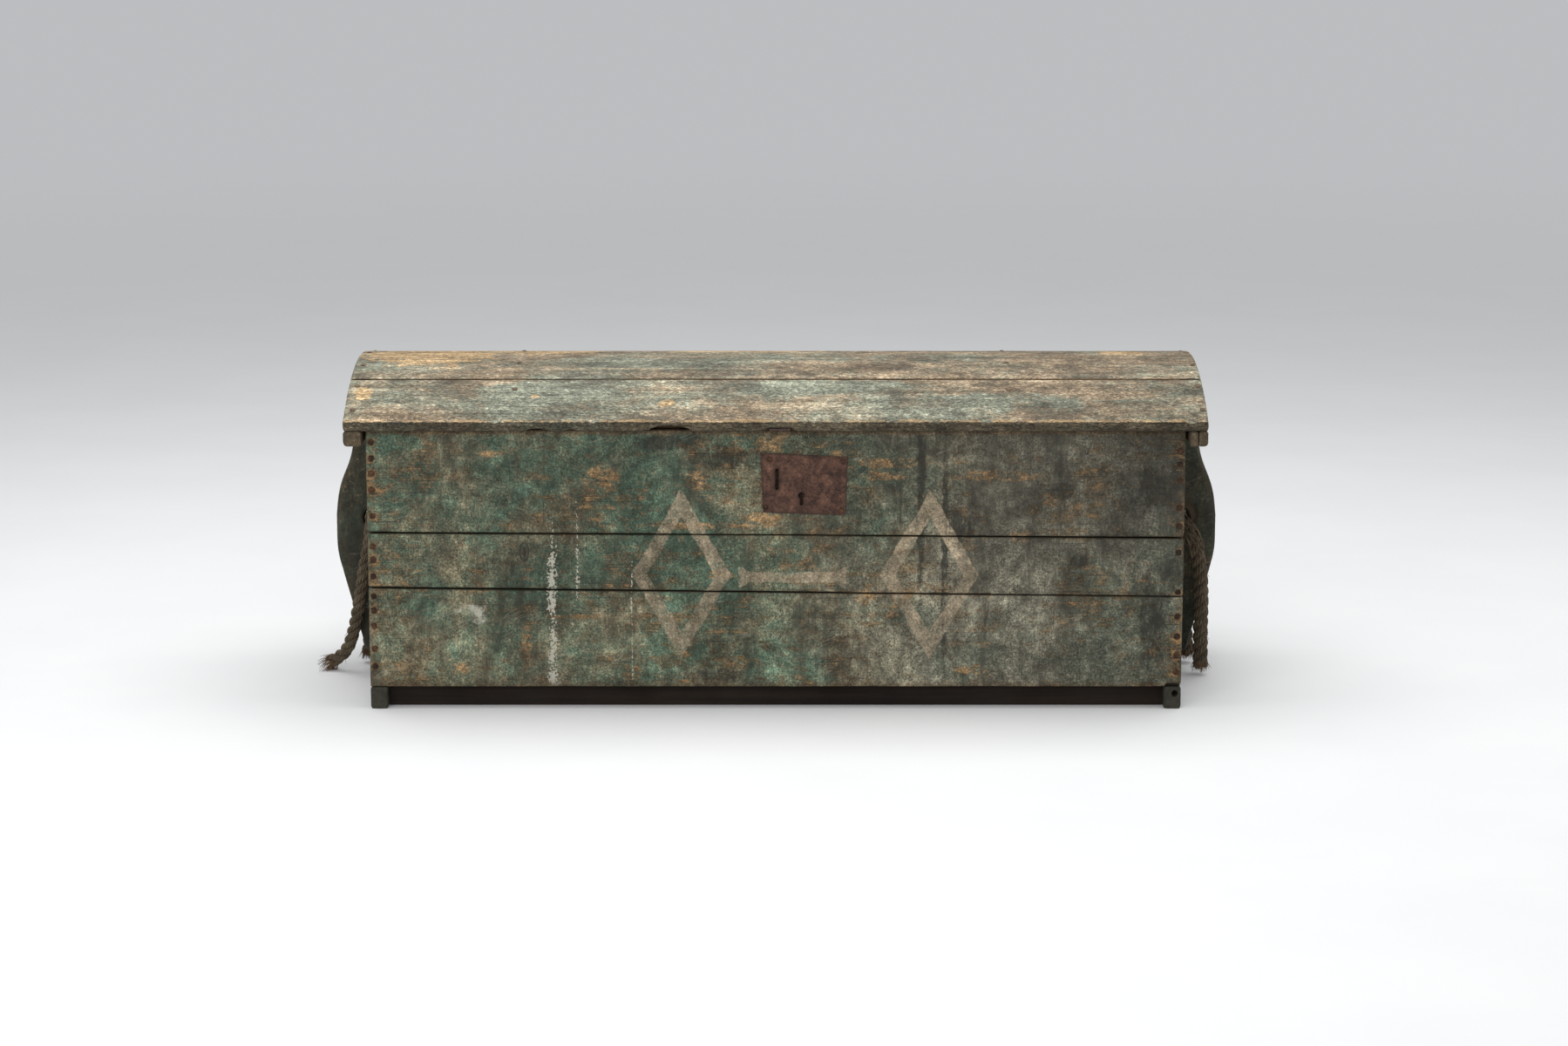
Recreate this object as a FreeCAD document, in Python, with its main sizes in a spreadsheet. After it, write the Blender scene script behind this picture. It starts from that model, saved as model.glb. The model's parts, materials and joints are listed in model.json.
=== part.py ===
"""An old painted storage chest: a board box on runners with a low domed lid, strap hinges,
a plate lock and rope beckets in shaped end cleats.

Frame: X along the chest, Y from front to back, +Z up, origin on the floor under the middle of
the chest. Millimetres."""

import FreeCAD
import Part
import math
import os
import Sketcher

V = FreeCAD.Vector

SIZES = {
    # Box
    "box_length": 1208.0,
    "box_depth": 452.0,
    "wall_tall": 388.2,
    "wall_thick": 20.0,
    "end_thick": 20.0,
    "bottom_thick": 18.0,
    "board_gap": 0.8,
    # Front boards: how far the two joints are below the box's top, and how far they open
    "front_joint_low_left": 238.7,
    "front_joint_low_right": 251.7,
    "front_joint_high_left": 153.7,
    "front_joint_high_right": 161.7,
    "front_joint_open": 2.2,
    "front_chip_length": 24.0,
    "front_chip_tall": 5.0,
    "front_chip_deep": 8.0,
    # Back and end boards
    "back_joint_low": 128.0,
    "back_joint_high": 262.0,
    "end_joint_left": 181.5,
    "end_joint_right": 192.5,
    "bottom_front_width": 142.0,
    "bottom_middle_width": 124.0,
    # Runners and rails
    "runner_tall": 33.5,
    "runner_wide": 26.0,
    "runner_round": 4.0,
    "runner_hole": 9.0,
    "runner_hole_deep": 22.0,
    "rail_recess": 25.0,
    "rail_thick": 20.0,
    # End cleats that hold the ropes
    "cleat_thick": 45.0,
    "cleat_back_of_middle": 36.0,
    "cleat_lid_clearance": 4.5,
    "cleat_out_top": 44.0,
    "cleat_out_neck": 46.5,
    "cleat_out_shoulder": 69.8,
    "cleat_out_most": 74.0,
    "cleat_out_foot": 32.0,
    "cleat_neck_drop": 49.0,
    "cleat_shoulder_drop": 104.0,
    "cleat_most_drop": 146.0,
    "cleat_belly_drop": 202.0,
    "cleat_round": 150.0,
    "cleat_edge_bevel": 3.5,
    "rope_hole": 27.0,
    "rope_hole_out": 17.5,
    "rope_hole_above_floor": 244.0,
    "rope_hole_bevel": 3.0,
    # Lid
    "lid_overhang": 20.0,
    "lid_edge": 16.0,
    "lid_rise": 63.0,
    "lid_front_board": 113.0,
    "lid_board_thick": 18.0,
    "lid_joint_gap": 0.8,
    "lid_seat_inside": 6.0,
    "lid_clearance": 0.3,
    "lid_edge_round": 2.5,
    "lid_end_round": 3.0,
    "cheek_thick": 27.0,
    "cheek_clearance": 4.0,
    "cheek_drop": 23.0,
    "cheek_round": 6.0,
    "cheek_inner_layer": 12.0,
    "cheek_layer_gap": 0.4,
    "rib_thick": 22.0,
    "rib_left_from_end": 217.0,
    "rib_right_from_end": 257.0,
    "rib_round": 3.0,
    # Bite out of the lid's lower front edge
    "bite_from_middle": 156.0,
    "bite_length": 57.0,
    "bite_tall": 7.0,
    "bite_deep": 13.0,
    # Strap hinges
    "hinge_from_end": 164.0,
    "strap_wide": 34.0,
    "strap_tip_wide": 16.0,
    "strap_thick": 2.5,
    "strap_lid_end_from_middle": 62.0,
    "strap_back_tall": 122.0,
    "strap_clearance": 0.3,
    "knuckle_radius": 5.0,
    "knuckle_gap": 0.4,
    "pin_radius": 2.5,
    "pin_clearance": 0.05,
    "pin_head_radius": 4.0,
    "pin_head_thick": 1.8,
    # Lock
    "plate_thick": 2.0,
    "plate_left_from_middle": 21.0,
    "plate_right_from_middle": 105.0,
    "plate_flare": 2.0,
    "plate_top_drop_left": 34.0,
    "plate_top_drop_right": 40.0,
    "plate_foot_drop_left": 124.0,
    "plate_foot_drop_right": 128.0,
    "slot_from_middle": 2.0,
    "slot_wide": 4.6,
    "slot_top_drop": 58.5,
    "slot_tall": 31.0,
    "keyhole_from_middle": 38.0,
    "keyhole_radius": 4.2,
    "keyhole_drop": 98.0,
    "keyhole_slot_wide": 4.0,
    "keyhole_slot_tall": 15.0,
    "rivet_head": 8.0,
    "rivet_head_top": 5.0,
    "rivet_head_tall": 1.4,
    "rivet_shank": 3.6,
    "rivet_length": 14.0,
    "case_left_from_middle": 12.0,
    "case_right_from_middle": 90.0,
    "case_top_drop": 51.5,
    "case_tall": 68.0,
    "case_deep": 15.0,
    "case_wall": 1.8,
    "case_clearance": 0.3,
    "bolt_tip_from_middle": 8.0,
    "bolt_length": 76.0,
    "bolt_tall": 14.0,
    "bolt_thick": 6.0,
    "bolt_travel": 14.0,
    "bolt_clearance": 0.3,
    "talon_wide": 10.0,
    "talon_tall": 5.5,
    "stud_radius": 2.0,
    "stud_tall": 9.0,
    "stud_from_end": 8.0,
    "spring_thick": 1.2,
    "spring_length": 62.0,
    "spring_wide": 6.0,
    # Stub of the lost hasp at the lid's edge, and the worn places below it
    "hasp_notch_from_middle": 6.0,
    "hasp_notch_wide": 43.0,
    "hasp_notch_tall": 5.5,
    "hasp_notch_deep": 9.0,
    "hasp_leaf_wide": 30.0,
    "hasp_leaf_deep": 34.0,
    "hasp_leaf_thick": 2.0,
    "hasp_pin_radius": 1.5,
    "hasp_barrel_radius": 2.6,
    "hasp_barrel_long": 9.0,
    "hasp_recess_wide": 26.0,
    "hasp_recess_tall": 8.0,
    "hasp_recess_deep": 3.0,
    "thumb_from_middle": 48.0,
    "thumb_wide": 26.0,
    "thumb_tall": 13.0,
    "thumb_deep": 3.0,
    # Nails
    "nail_shank": 3.2,
    "nail_length": 48.0,
    "nail_head": 7.5,
    "nail_head_tall": 1.4,
    "nail_head_top": 3.5,
    "nail_inset": 8.0,
    "nail_hole_clearance": 0.1,
    "strap_nail_length": 17.0,
    "cleat_nail_aside": 7.5,
    # Ropes
    "rope_diameter": 21.0,
    # One overrun for all cuts
    "cut_over": 5.0,
}

# Nails up the ends of the front and the back, as shares of the wall's height
FRONT_LEFT_SHARES = (0.082, 0.15, 0.239, 0.3, 0.355, 0.433, 0.498, 0.549, 0.668, 0.767, 0.832, 0.889, 0.951)
FRONT_RIGHT_SHARES = (0.058, 0.123, 0.198, 0.276, 0.372, 0.525, 0.627, 0.699, 0.804, 0.866, 0.917)
BACK_SHARES = (0.062, 0.16, 0.268, 0.392, 0.51, 0.608, 0.737, 0.84, 0.938)

# How near two places are to count as one, and how straight an edge is to count as level or upright
NEAR = 0.01
STRAIGHT_SHARE = 0.99

NODES = []


class Size:
    """A length worked out from the sheet, as a number and as the expression that gives it."""

    def __init__(self, value, text):
        self.value = value
        self.text = text

    def join(self, sign, other, value):
        right = other.text if isinstance(other, Size) else repr(other)
        return Size(value, f"({self.text} {sign} {right})")

    def __add__(self, other):
        return self.join("+", other, self.value + number(other))

    def __sub__(self, other):
        return self.join("-", other, self.value - number(other))

    def __mul__(self, other):
        return self.join("*", other, self.value * number(other))

    def __truediv__(self, other):
        return self.join("/", other, self.value / number(other))

    def __neg__(self):
        return Size(-self.value, f"(0 - {self.text})")


def number(size):
    return size.value if isinstance(size, Size) else size


def root(size):
    return Size(math.sqrt(size.value), f"sqrt({size.text})")


class Sheet:
    """The driving dimensions, each one a Size named after its cell."""

    def __init__(self, document):
        self.cells = document.addObject("Spreadsheet::Sheet", "Sizes")
        for row, (name, value) in enumerate(SIZES.items(), 1):
            self.cells.set(f"A{row}", name)
            self.cells.set(f"B{row}", str(value))
            self.cells.setAlias(f"B{row}", name)
            setattr(self, name, Size(value, f"Sizes.{name}"))
        document.recompute()


doc = FreeCAD.newDocument("storage_chest")
d = Sheet(doc)
NONE = d.cut_over - d.cut_over

# Places that several pieces share
half_length = d.box_length / 2
half_depth = d.box_depth / 2
box_foot = d.runner_tall
box_top = box_foot + d.wall_tall
inner_half_length = half_length - d.end_thick
inner_half_depth = half_depth - d.wall_thick
lid_under = box_top + d.lid_clearance
half_lid = half_length + d.cheek_clearance + d.cheek_thick
lid_length = half_lid * 2
half_lid_depth = half_depth + d.lid_overhang
lid_edge_top = lid_under + d.lid_edge
lid_radius = (half_lid_depth * half_lid_depth / d.lid_rise + d.lid_rise) / 2
lid_centre = lid_edge_top + d.lid_rise - lid_radius
lid_joint = half_lid_depth - d.lid_front_board
seat_inner = inner_half_depth - d.lid_seat_inside


def lid_top(across):
    """Height of the lid's round top at a distance across from its middle."""
    return lid_centre + root(lid_radius * lid_radius - across * across)


joint_share = (lid_radius - d.lid_board_thick) / lid_radius
under_joint = lid_joint * joint_share
ceiling = lid_centre + (lid_top(lid_joint) - lid_centre) * joint_share
slope_run = seat_inner - under_joint
slope_rise = ceiling - lid_under
slope_length = root(slope_run * slope_run + slope_rise * slope_rise)
hinge_from_middle = half_length - d.hinge_from_end
rib_left_from_middle = half_length - d.rib_left_from_end
rib_right_from_middle = half_length - d.rib_right_from_end
pin_back = half_depth + d.knuckle_radius + d.strap_clearance
pin_up = lid_under - d.knuckle_radius


def bind(thing, prop, size):
    thing.setExpression(prop, size.text)


def place(thing, x=None, y=None, z=None):
    """Puts a piece at a point of named sizes and keeps it bound to them."""
    base = V(*(number(size) if size else 0 for size in (x, y, z)))
    thing.Placement = FreeCAD.Placement(base, thing.Placement.Rotation)
    for axis, size in zip("xyz", (x, y, z)):
        if size:
            bind(thing, f"Placement.Base.{axis}", size)
    return thing


def sketch_on(body, role, name):
    plane = next(f for f in body.Origin.OriginFeatures if f.Role == role)
    sketch = body.newObject("Sketcher::SketchObject", name)
    sketch.AttachmentSupport = (plane, [""])
    sketch.MapMode = "FlatFace"
    return sketch


def pin_point(sketch, line, end, corner, tag):
    """Holds one end of a line at a corner given by two sizes."""
    for word, letter, size in (("DistanceX", "x", corner[0]), ("DistanceY", "y", corner[1])):
        at = sketch.addConstraint(Sketcher.Constraint(word, -1, 1, line, end, number(size)))
        sketch.renameConstraint(at, f"{tag}{letter}")
        bind(sketch, f"Constraints.{tag}{letter}", size)


def outline(sketch, corners, arcs=()):
    """A closed outline through the corners. arcs gives (side, radius): that side is an arc that
    bulges outwards, for corners that run anticlockwise."""
    bulges = dict(arcs)
    count = len(corners)
    points = [V(number(x), number(y), 0) for x, y in corners]
    starts = []
    for i in range(count):
        a, b = points[i], points[(i + 1) % count]
        if i in bulges:
            radius = bulges[i].value
            chord = b - a
            reach = math.sqrt(radius**2 - chord.Length**2 / 4)
            inward = V(-chord.y, chord.x, 0).normalize()
            centre = (a + b) / 2 + inward * reach
            middle = centre - inward * radius
            sketch.addGeometry(Part.Arc(a, middle, b), False)
        else:
            sketch.addGeometry(Part.LineSegment(a, b), False)
        starts.append(i)
    for i in starts:
        after = (i + 1) % count
        sketch.addConstraint(Sketcher.Constraint("Coincident", i, 2, after, 1))
    for i in starts:
        pin_point(sketch, i, 1, corners[i], f"p{i}")
        if i in bulges:
            at = sketch.addConstraint(Sketcher.Constraint("Radius", i, bulges[i].value))
            sketch.renameConstraint(at, f"r{i}")
            bind(sketch, f"Constraints.r{i}", bulges[i])


def ring(sketch, x, y, radius):
    """A circle at a point of named sizes."""
    line = sketch.addGeometry(Part.Circle(V(number(x), number(y), 0), V(0, 0, 1), number(radius)), False)
    pin_point(sketch, line, 3, (x, y), f"c{line}")
    at = sketch.addConstraint(Sketcher.Constraint("Radius", line, number(radius)))
    sketch.renameConstraint(at, f"c{line}r")
    bind(sketch, f"Constraints.c{line}r", radius)


def pad(body, sketch, length, name="Pad"):
    feature = body.newObject("PartDesign::Pad", f"{body.Name}_{name}")
    feature.Profile = sketch
    bind(feature, "Length", length)
    sketch.Visibility = False
    doc.recompute()
    return feature


def prism(name, role, corners, length, arcs=(), x=None, y=None, z=None):
    """A body whose outline on one of its planes is padded by a length."""
    body = doc.addObject("PartDesign::Body", name)
    sketch = sketch_on(body, role, f"{name}_outline")
    outline(sketch, corners, arcs)
    pad(body, sketch, length)
    return place(body, x, y, z)


def block(name, low, wide, deep, tall):
    """A plain block that is bound to its corner and its three sizes."""
    box = doc.addObject("Part::Box", name)
    for prop, size in (("Length", wide), ("Width", deep), ("Height", tall)):
        bind(box, prop, size)
    return place(box, *low)


def rod(name, centre, radius, length, along):
    """A cylinder along X, Y or Z from its centre point at one end."""
    cylinder = doc.addObject("Part::Cylinder", name)
    bind(cylinder, "Radius", radius)
    bind(cylinder, "Height", length)
    turns = {"x": (V(0, 1, 0), 90), "y": (V(1, 0, 0), -90), "z": (V(0, 0, 1), 0)}
    cylinder.Placement = FreeCAD.Placement(V(), FreeCAD.Rotation(*turns[along]))
    return place(cylinder, *centre)


def near(value, *sizes):
    """Says whether a value is at one of the sizes."""
    return any(abs(value - number(size)) < NEAR for size in sizes)


def runs_along(edge, axis):
    return abs(getattr(edge.tangentAt(edge.FirstParameter), axis)) > STRAIGHT_SHARE


def dress_edges(body, size, test, name, kind, prop):
    """Rounds or bevels the edges of the body's newest feature that pass a test of their middle point."""
    doc.recompute()
    base = body.Tip
    chosen = []
    for i, edge in enumerate(base.Shape.Edges, 1):
        middle = edge.valueAt((edge.FirstParameter + edge.LastParameter) / 2)
        if test(edge, middle):
            chosen.append(f"Edge{i}")
    if not chosen:
        raise RuntimeError(f"{body.Name}: no edge for {name}")
    feature = body.newObject(kind, f"{body.Name}_{name}")
    feature.Base = (base, chosen)
    bind(feature, prop, size)
    doc.recompute()
    return feature


def round_edges(body, radius, test, name="Round"):
    return dress_edges(body, radius, test, name, "PartDesign::Fillet", "Radius")


def bevel_edges(body, size, test, name="Bevel"):
    return dress_edges(body, size, test, name, "PartDesign::Chamfer", "Size")


def joined(kind, name, pieces):
    shape = doc.addObject(kind, name)
    shape.Shapes = pieces
    return shape


def cut(name, base, tools):
    """The base less all the tools."""
    tool = tools[0] if len(tools) == 1 else joined("Part::MultiFuse", f"{name}_tools", tools)
    result = doc.addObject("Part::Cut", name)
    result.Base = base
    result.Tool = tool
    return result


def loose(name, shape):
    """A piece whose shape is made with Part's own functions from the sheet's sizes."""
    feature = doc.addObject("Part::Feature", name)
    feature.Shape = shape
    return feature


def node(thing, label):
    thing.Label = label
    NODES.append(thing)
    return thing


# Nails


NAIL_SIDES = 4
RIVET_SIDES = 8


def regular(sides, across, up):
    """A regular outline, across flats, level at a height."""
    turn = 2 * math.pi / sides
    radius = across / 2 / math.cos(turn / 2)
    turns = [turn * (i + 0.5) for i in range(sides)]
    corners = [V(radius * math.cos(t), radius * math.sin(t), up) for t in turns]
    return Part.makePolygon(corners + corners[:1])


def forged_head(sides, foot, top, tall):
    """The flat faceted head of a nail or rivet. It stands on z = 0."""
    return Part.makeLoft([regular(sides, foot.value, 0), regular(sides, top.value, tall.value)], True)


def shank(side, length, over=0):
    """A square shank that points down from z = 0, or its hole where it is over size."""
    wide = side + 2 * over
    return Part.makeBox(wide, wide, length + 2 * over, V(-wide / 2, -wide / 2, -length - over))


def driven(name, head, side, length, places):
    """A group of nails or rivets, and the holes that they leave, each at a placement."""
    whole = head.fuse(shank(side, length))
    hole = shank(side, length, d.nail_hole_clearance.value)
    group = Part.makeCompound([whole.transformed(p.toMatrix()) for p in places])
    node(loose(f"{name}_group", group), name)
    return loose(f"{name}_holes", Part.makeCompound([hole.transformed(p.toMatrix()) for p in places]))


def nails(name, places, length):
    head = forged_head(NAIL_SIDES, d.nail_head, d.nail_head_top, d.nail_head_tall)
    return driven(name, head, d.nail_shank.value, length, places)


def turned(x, y, z, axis, angle):
    return FreeCAD.Placement(V(number(x), number(y), number(z)), FreeCAD.Rotation(axis, angle))


INTO_FRONT = (V(1, 0, 0), 90)
INTO_BACK = (V(1, 0, 0), -90)
INTO_LEFT = (V(0, 1, 0), 90)
INTO_RIGHT = (V(0, 1, 0), -90)


def wall_nails(name, side, shares, face, way):
    x = (half_length - d.nail_inset) * side
    y = half_depth * face
    places = [turned(x, y, box_foot + d.wall_tall * share, *way) for share in shares]
    return nails(name, places, d.nail_length.value)


def lid_nail_places(x, across):
    """Nails square to the lid's round top."""
    places = []
    for y in across:
        angle = math.degrees(math.asin(y / lid_radius.value))
        places.append(turned(x, y, lid_top(Size(y, repr(y))).value, V(1, 0, 0), -angle))
    return places


CLEAT_NAIL_SHARES = (0.09, 0.24, 0.72, 0.9)


def cleat_nails(name, side, way):
    foot = box_foot + d.bottom_thick
    tall = lid_under - d.cheek_drop - foot
    places = []
    for i, share in enumerate(CLEAT_NAIL_SHARES):
        y = d.cleat_back_of_middle + d.cleat_nail_aside * (-1) ** i
        places.append(turned(inner_half_length * side, y, foot + tall * share, *way))
    return nails(name, places, d.nail_length.value)


holes_front_left = wall_nails("nails_front_left", -1, FRONT_LEFT_SHARES, -1, INTO_FRONT)
holes_front_right = wall_nails("nails_front_right", 1, FRONT_RIGHT_SHARES, -1, INTO_FRONT)
holes_back_left = wall_nails("nails_back_left", -1, BACK_SHARES, 1, INTO_BACK)
holes_back_right = wall_nails("nails_back_right", 1, BACK_SHARES, 1, INTO_BACK)
holes_cleat_left = cleat_nails("nails_cleat_left", -1, INTO_LEFT)
holes_cleat_right = cleat_nails("nails_cleat_right", 1, INTO_RIGHT)

LID_END_NAIL_SHARES = (-0.9, -0.64, -0.3, 0.08, 0.42, 0.66, 0.91)
RIB_NAIL_SHARES = (-0.68, -0.25, 0.2, 0.69)
end_nails = [half_lid_depth.value * share for share in LID_END_NAIL_SHARES]
rib_nails = [half_lid_depth.value * share for share in RIB_NAIL_SHARES]
cheek_middle = half_lid - d.cheek_thick / 2
lid_nail_length = d.nail_length.value
holes_lid_left = nails("nails_lid_left", lid_nail_places(-cheek_middle, end_nails), lid_nail_length)
outer_middle = half_lid - (d.cheek_thick - d.cheek_inner_layer) / 2
holes_lid_right = nails("nails_lid_right", lid_nail_places(outer_middle, end_nails), lid_nail_length)
rib_places = lid_nail_places(-rib_left_from_middle, rib_nails)
rib_places += lid_nail_places(rib_right_from_middle, rib_nails)
holes_ribs = nails("nails_lid_ribs", rib_places, lid_nail_length)


# Box


def rect(low_x, high_x, low_y, high_y):
    return [(low_x, low_y), (high_x, low_y), (high_x, high_y), (low_x, high_y)]


def board(name, corners, thick, y):
    """A board of the front or back: its outline in X and Z, padded towards the front."""
    return prism(f"{name}_blank", "XZ_Plane", corners, thick, y=y)


low_left = box_top - d.front_joint_low_left
low_right = box_top - d.front_joint_low_right
high_left = box_top - d.front_joint_high_left
high_right = box_top - d.front_joint_high_right
high_middle = (high_left + high_right) / 2
front_inner = -inner_half_depth

lower_blank = board(
    "front_board_lower",
    [(-half_length, box_foot), (half_length, box_foot), (half_length, low_right), (-half_length, low_left)],
    d.wall_thick,
    front_inner,
)
chip = block(
    "front_chip",
    (half_length - d.front_chip_length, -half_depth - d.cut_over, box_foot - d.cut_over),
    d.front_chip_length + d.cut_over,
    d.front_chip_deep + d.cut_over,
    d.front_chip_tall + d.cut_over,
)
node(
    cut("front_lower_cut", lower_blank, [holes_front_left, holes_front_right, chip]),
    "front_board_lower",
)

middle_blank = board(
    "front_board_middle",
    [
        (-half_length, low_left + d.front_joint_open),
        (half_length, low_right + d.board_gap),
        (half_length, high_right - d.front_joint_open),
        (NONE, high_middle - d.board_gap),
        (-half_length, high_left - d.front_joint_open),
    ],
    d.wall_thick,
    front_inner,
)
node(
    cut("front_middle_cut", middle_blank, [holes_front_left, holes_front_right]),
    "front_board_middle",
)

upper_blank = board(
    "front_board_upper",
    [(-half_length, high_left), (half_length, high_right), (half_length, box_top), (-half_length, box_top)],
    d.wall_thick,
    front_inner,
)
case_low = box_top - d.case_top_drop - d.case_tall
mortise = block(
    "lock_mortise",
    (
        -d.case_left_from_middle - d.case_clearance,
        -half_depth - d.cut_over,
        case_low - d.case_clearance,
    ),
    d.case_left_from_middle + d.case_right_from_middle + d.case_clearance * 2,
    d.case_deep + d.case_clearance + d.cut_over,
    d.case_tall + d.case_clearance * 2,
)
hasp_recess = block(
    "hasp_recess",
    (
        d.hasp_notch_from_middle - d.hasp_recess_wide / 2,
        -half_depth - d.cut_over,
        box_top - d.hasp_recess_tall,
    ),
    d.hasp_recess_wide,
    d.hasp_recess_deep + d.cut_over,
    d.hasp_recess_tall + d.cut_over,
)
thumb_radius = (d.thumb_wide * d.thumb_wide / d.thumb_tall / 4 + d.thumb_tall) / 2
thumb = rod(
    "thumb_wear",
    (d.thumb_from_middle, -half_depth - d.cut_over, box_top - d.thumb_tall + thumb_radius),
    thumb_radius,
    d.thumb_deep + d.cut_over,
    "y",
)
# The rivets, as shares across and down the plate
RIVET_SHARES = ((0.095, 0.113), (0.955, 0.142), (0.044, 0.908), (0.934, 0.966))
plate_long = d.plate_left_from_middle + d.plate_right_from_middle
plate_tall = d.plate_foot_drop_left - d.plate_top_drop_left
plate_top = box_top - d.plate_top_drop_left
plate_face = -half_depth - d.plate_thick
rivet_places = []
for over, fall in RIVET_SHARES:
    rivet_x = plate_long * over - d.plate_left_from_middle
    rivet_places.append(turned(rivet_x, plate_face, plate_top - plate_tall * fall, *INTO_FRONT))
rivet = forged_head(RIVET_SIDES, d.rivet_head, d.rivet_head_top, d.rivet_head_tall)
rivet_holes = driven("lock_rivets", rivet, d.rivet_shank.value, d.rivet_length.value, rivet_places)
node(
    cut(
        "front_upper_cut",
        upper_blank,
        [holes_front_left, holes_front_right, mortise, hasp_recess, thumb, rivet_holes],
    ),
    "front_board_upper",
)

gain_width = d.strap_wide + d.strap_clearance * 2
gain_low = lid_under - d.strap_thick - d.strap_clearance
gains = [
    block(
        f"hinge_gain_{word}",
        (hinge_from_middle * side - gain_width / 2, inner_half_depth - d.cut_over, gain_low),
        gain_width,
        d.wall_thick + d.cut_over * 2,
        box_top - gain_low + d.cut_over,
    )
    for side, word in ((-1, "left"), (1, "right"))
]


def strap_nail_places(side):
    """Nails of a hinge's back leaf, down its middle."""
    x = hinge_from_middle * side
    face = half_depth + d.strap_thick
    drops = [d.strap_back_tall * share for share in STRAP_NAIL_SHARES]
    return [turned(x, face, pin_up - drop, *INTO_BACK) for drop in drops]


def strap_lid_nail_places(side):
    """Nails of a hinge's lid leaf: one on the seat, two on the ceiling, pointing up."""
    x = hinge_from_middle * side
    flat = ceiling - d.strap_thick
    reach = under_joint - d.strap_lid_end_from_middle
    return [turned(x, under_joint - reach * share, flat, V(1, 0, 0), 180) for share in STRAP_LID_SHARES]


STRAP_NAIL_SHARES = (0.3, 0.58, 0.86)
STRAP_LID_SHARES = (0.28, 0.72)
strap_places = strap_nail_places(-1) + strap_nail_places(1)
holes_strap_back = nails("hinge_nails_back", strap_places, d.strap_nail_length.value)
lid_strap_places = strap_lid_nail_places(-1) + strap_lid_nail_places(1)
holes_strap_lid = nails("hinge_nails_lid", lid_strap_places, d.strap_nail_length.value)

back_low = box_foot + d.back_joint_low
back_high = box_foot + d.back_joint_high
back_holes = [holes_back_left, holes_back_right, holes_strap_back]
for word, low, high in (
    ("lower", box_foot, back_low),
    ("middle", back_low + d.board_gap, back_high),
    ("upper", back_high + d.board_gap, box_top),
):
    corners = rect(-half_length, half_length, low, high)
    blank = board(f"back_board_{word}", corners, d.wall_thick, half_depth)
    tools = back_holes + (gains if word == "upper" else [])
    node(cut(f"back_{word}_cut", blank, tools), f"back_board_{word}")

wall_holes = {
    "left": [holes_front_left, holes_back_left, holes_cleat_left],
    "right": [holes_front_right, holes_back_right, holes_cleat_right],
}
for word, low_x, joint in (
    ("left", -half_length, box_foot + d.end_joint_left),
    ("right", inner_half_length, box_foot + d.end_joint_right),
):
    for part_word, low, high in (("lower", box_foot, joint), ("upper", joint + d.board_gap, box_top)):
        name = f"end_board_{word}_{part_word}"
        corners = rect(-inner_half_depth, inner_half_depth, low, high)
        blank = prism(f"{name}_blank", "YZ_Plane", corners, d.end_thick, x=low_x)
        node(cut(f"{name}_cut", blank, wall_holes[word]), name)

bottom_joint_front = -inner_half_depth + d.bottom_front_width
bottom_joint_back = bottom_joint_front + d.bottom_middle_width
for word, low, high in (
    ("front", -inner_half_depth, bottom_joint_front),
    ("middle", bottom_joint_front + d.board_gap, bottom_joint_back),
    ("back", bottom_joint_back + d.board_gap, inner_half_depth),
):
    corners = rect(-inner_half_length, inner_half_length, low, high)
    node(
        prism(f"bottom_{word}", "XY_Plane", corners, d.bottom_thick, z=box_foot),
        f"bottom_board_{word}",
    )

# Runners and rails


RUNNER_HOLE_SHARES = (0.36, 0.68)


def at_runner_corner(edge, at):
    return runs_along(edge, "z") and near(at.y, -half_depth)


for word, low_x in (("left", -half_length), ("right", half_length - d.runner_wide)):
    corners = rect(low_x, low_x + d.runner_wide, -half_depth, half_depth)
    runner = prism(f"runner_{word}_blank", "XY_Plane", corners, d.runner_tall)
    round_edges(runner, d.runner_round, at_runner_corner)
    if word == "right":
        over, up = RUNNER_HOLE_SHARES
        hole = rod(
            "runner_hole",
            (half_length - d.runner_wide * over, -half_depth - d.cut_over, d.runner_tall * up),
            d.runner_hole / 2,
            d.runner_hole_deep + d.cut_over,
            "y",
        )
        runner = cut("runner_right_cut", runner, [hole])
    node(runner, f"runner_{word}")

rail_low_x = -half_length + d.runner_wide
for word, low_y in (
    ("front", -half_depth + d.rail_recess),
    ("back", half_depth - d.rail_recess - d.rail_thick),
):
    corners = rect(rail_low_x, -rail_low_x, low_y, low_y + d.rail_thick)
    node(prism(f"rail_{word}_body", "XY_Plane", corners, d.runner_tall), f"rail_{word}")

# End cleats: shaped boards on edge, bored for the rope

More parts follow.
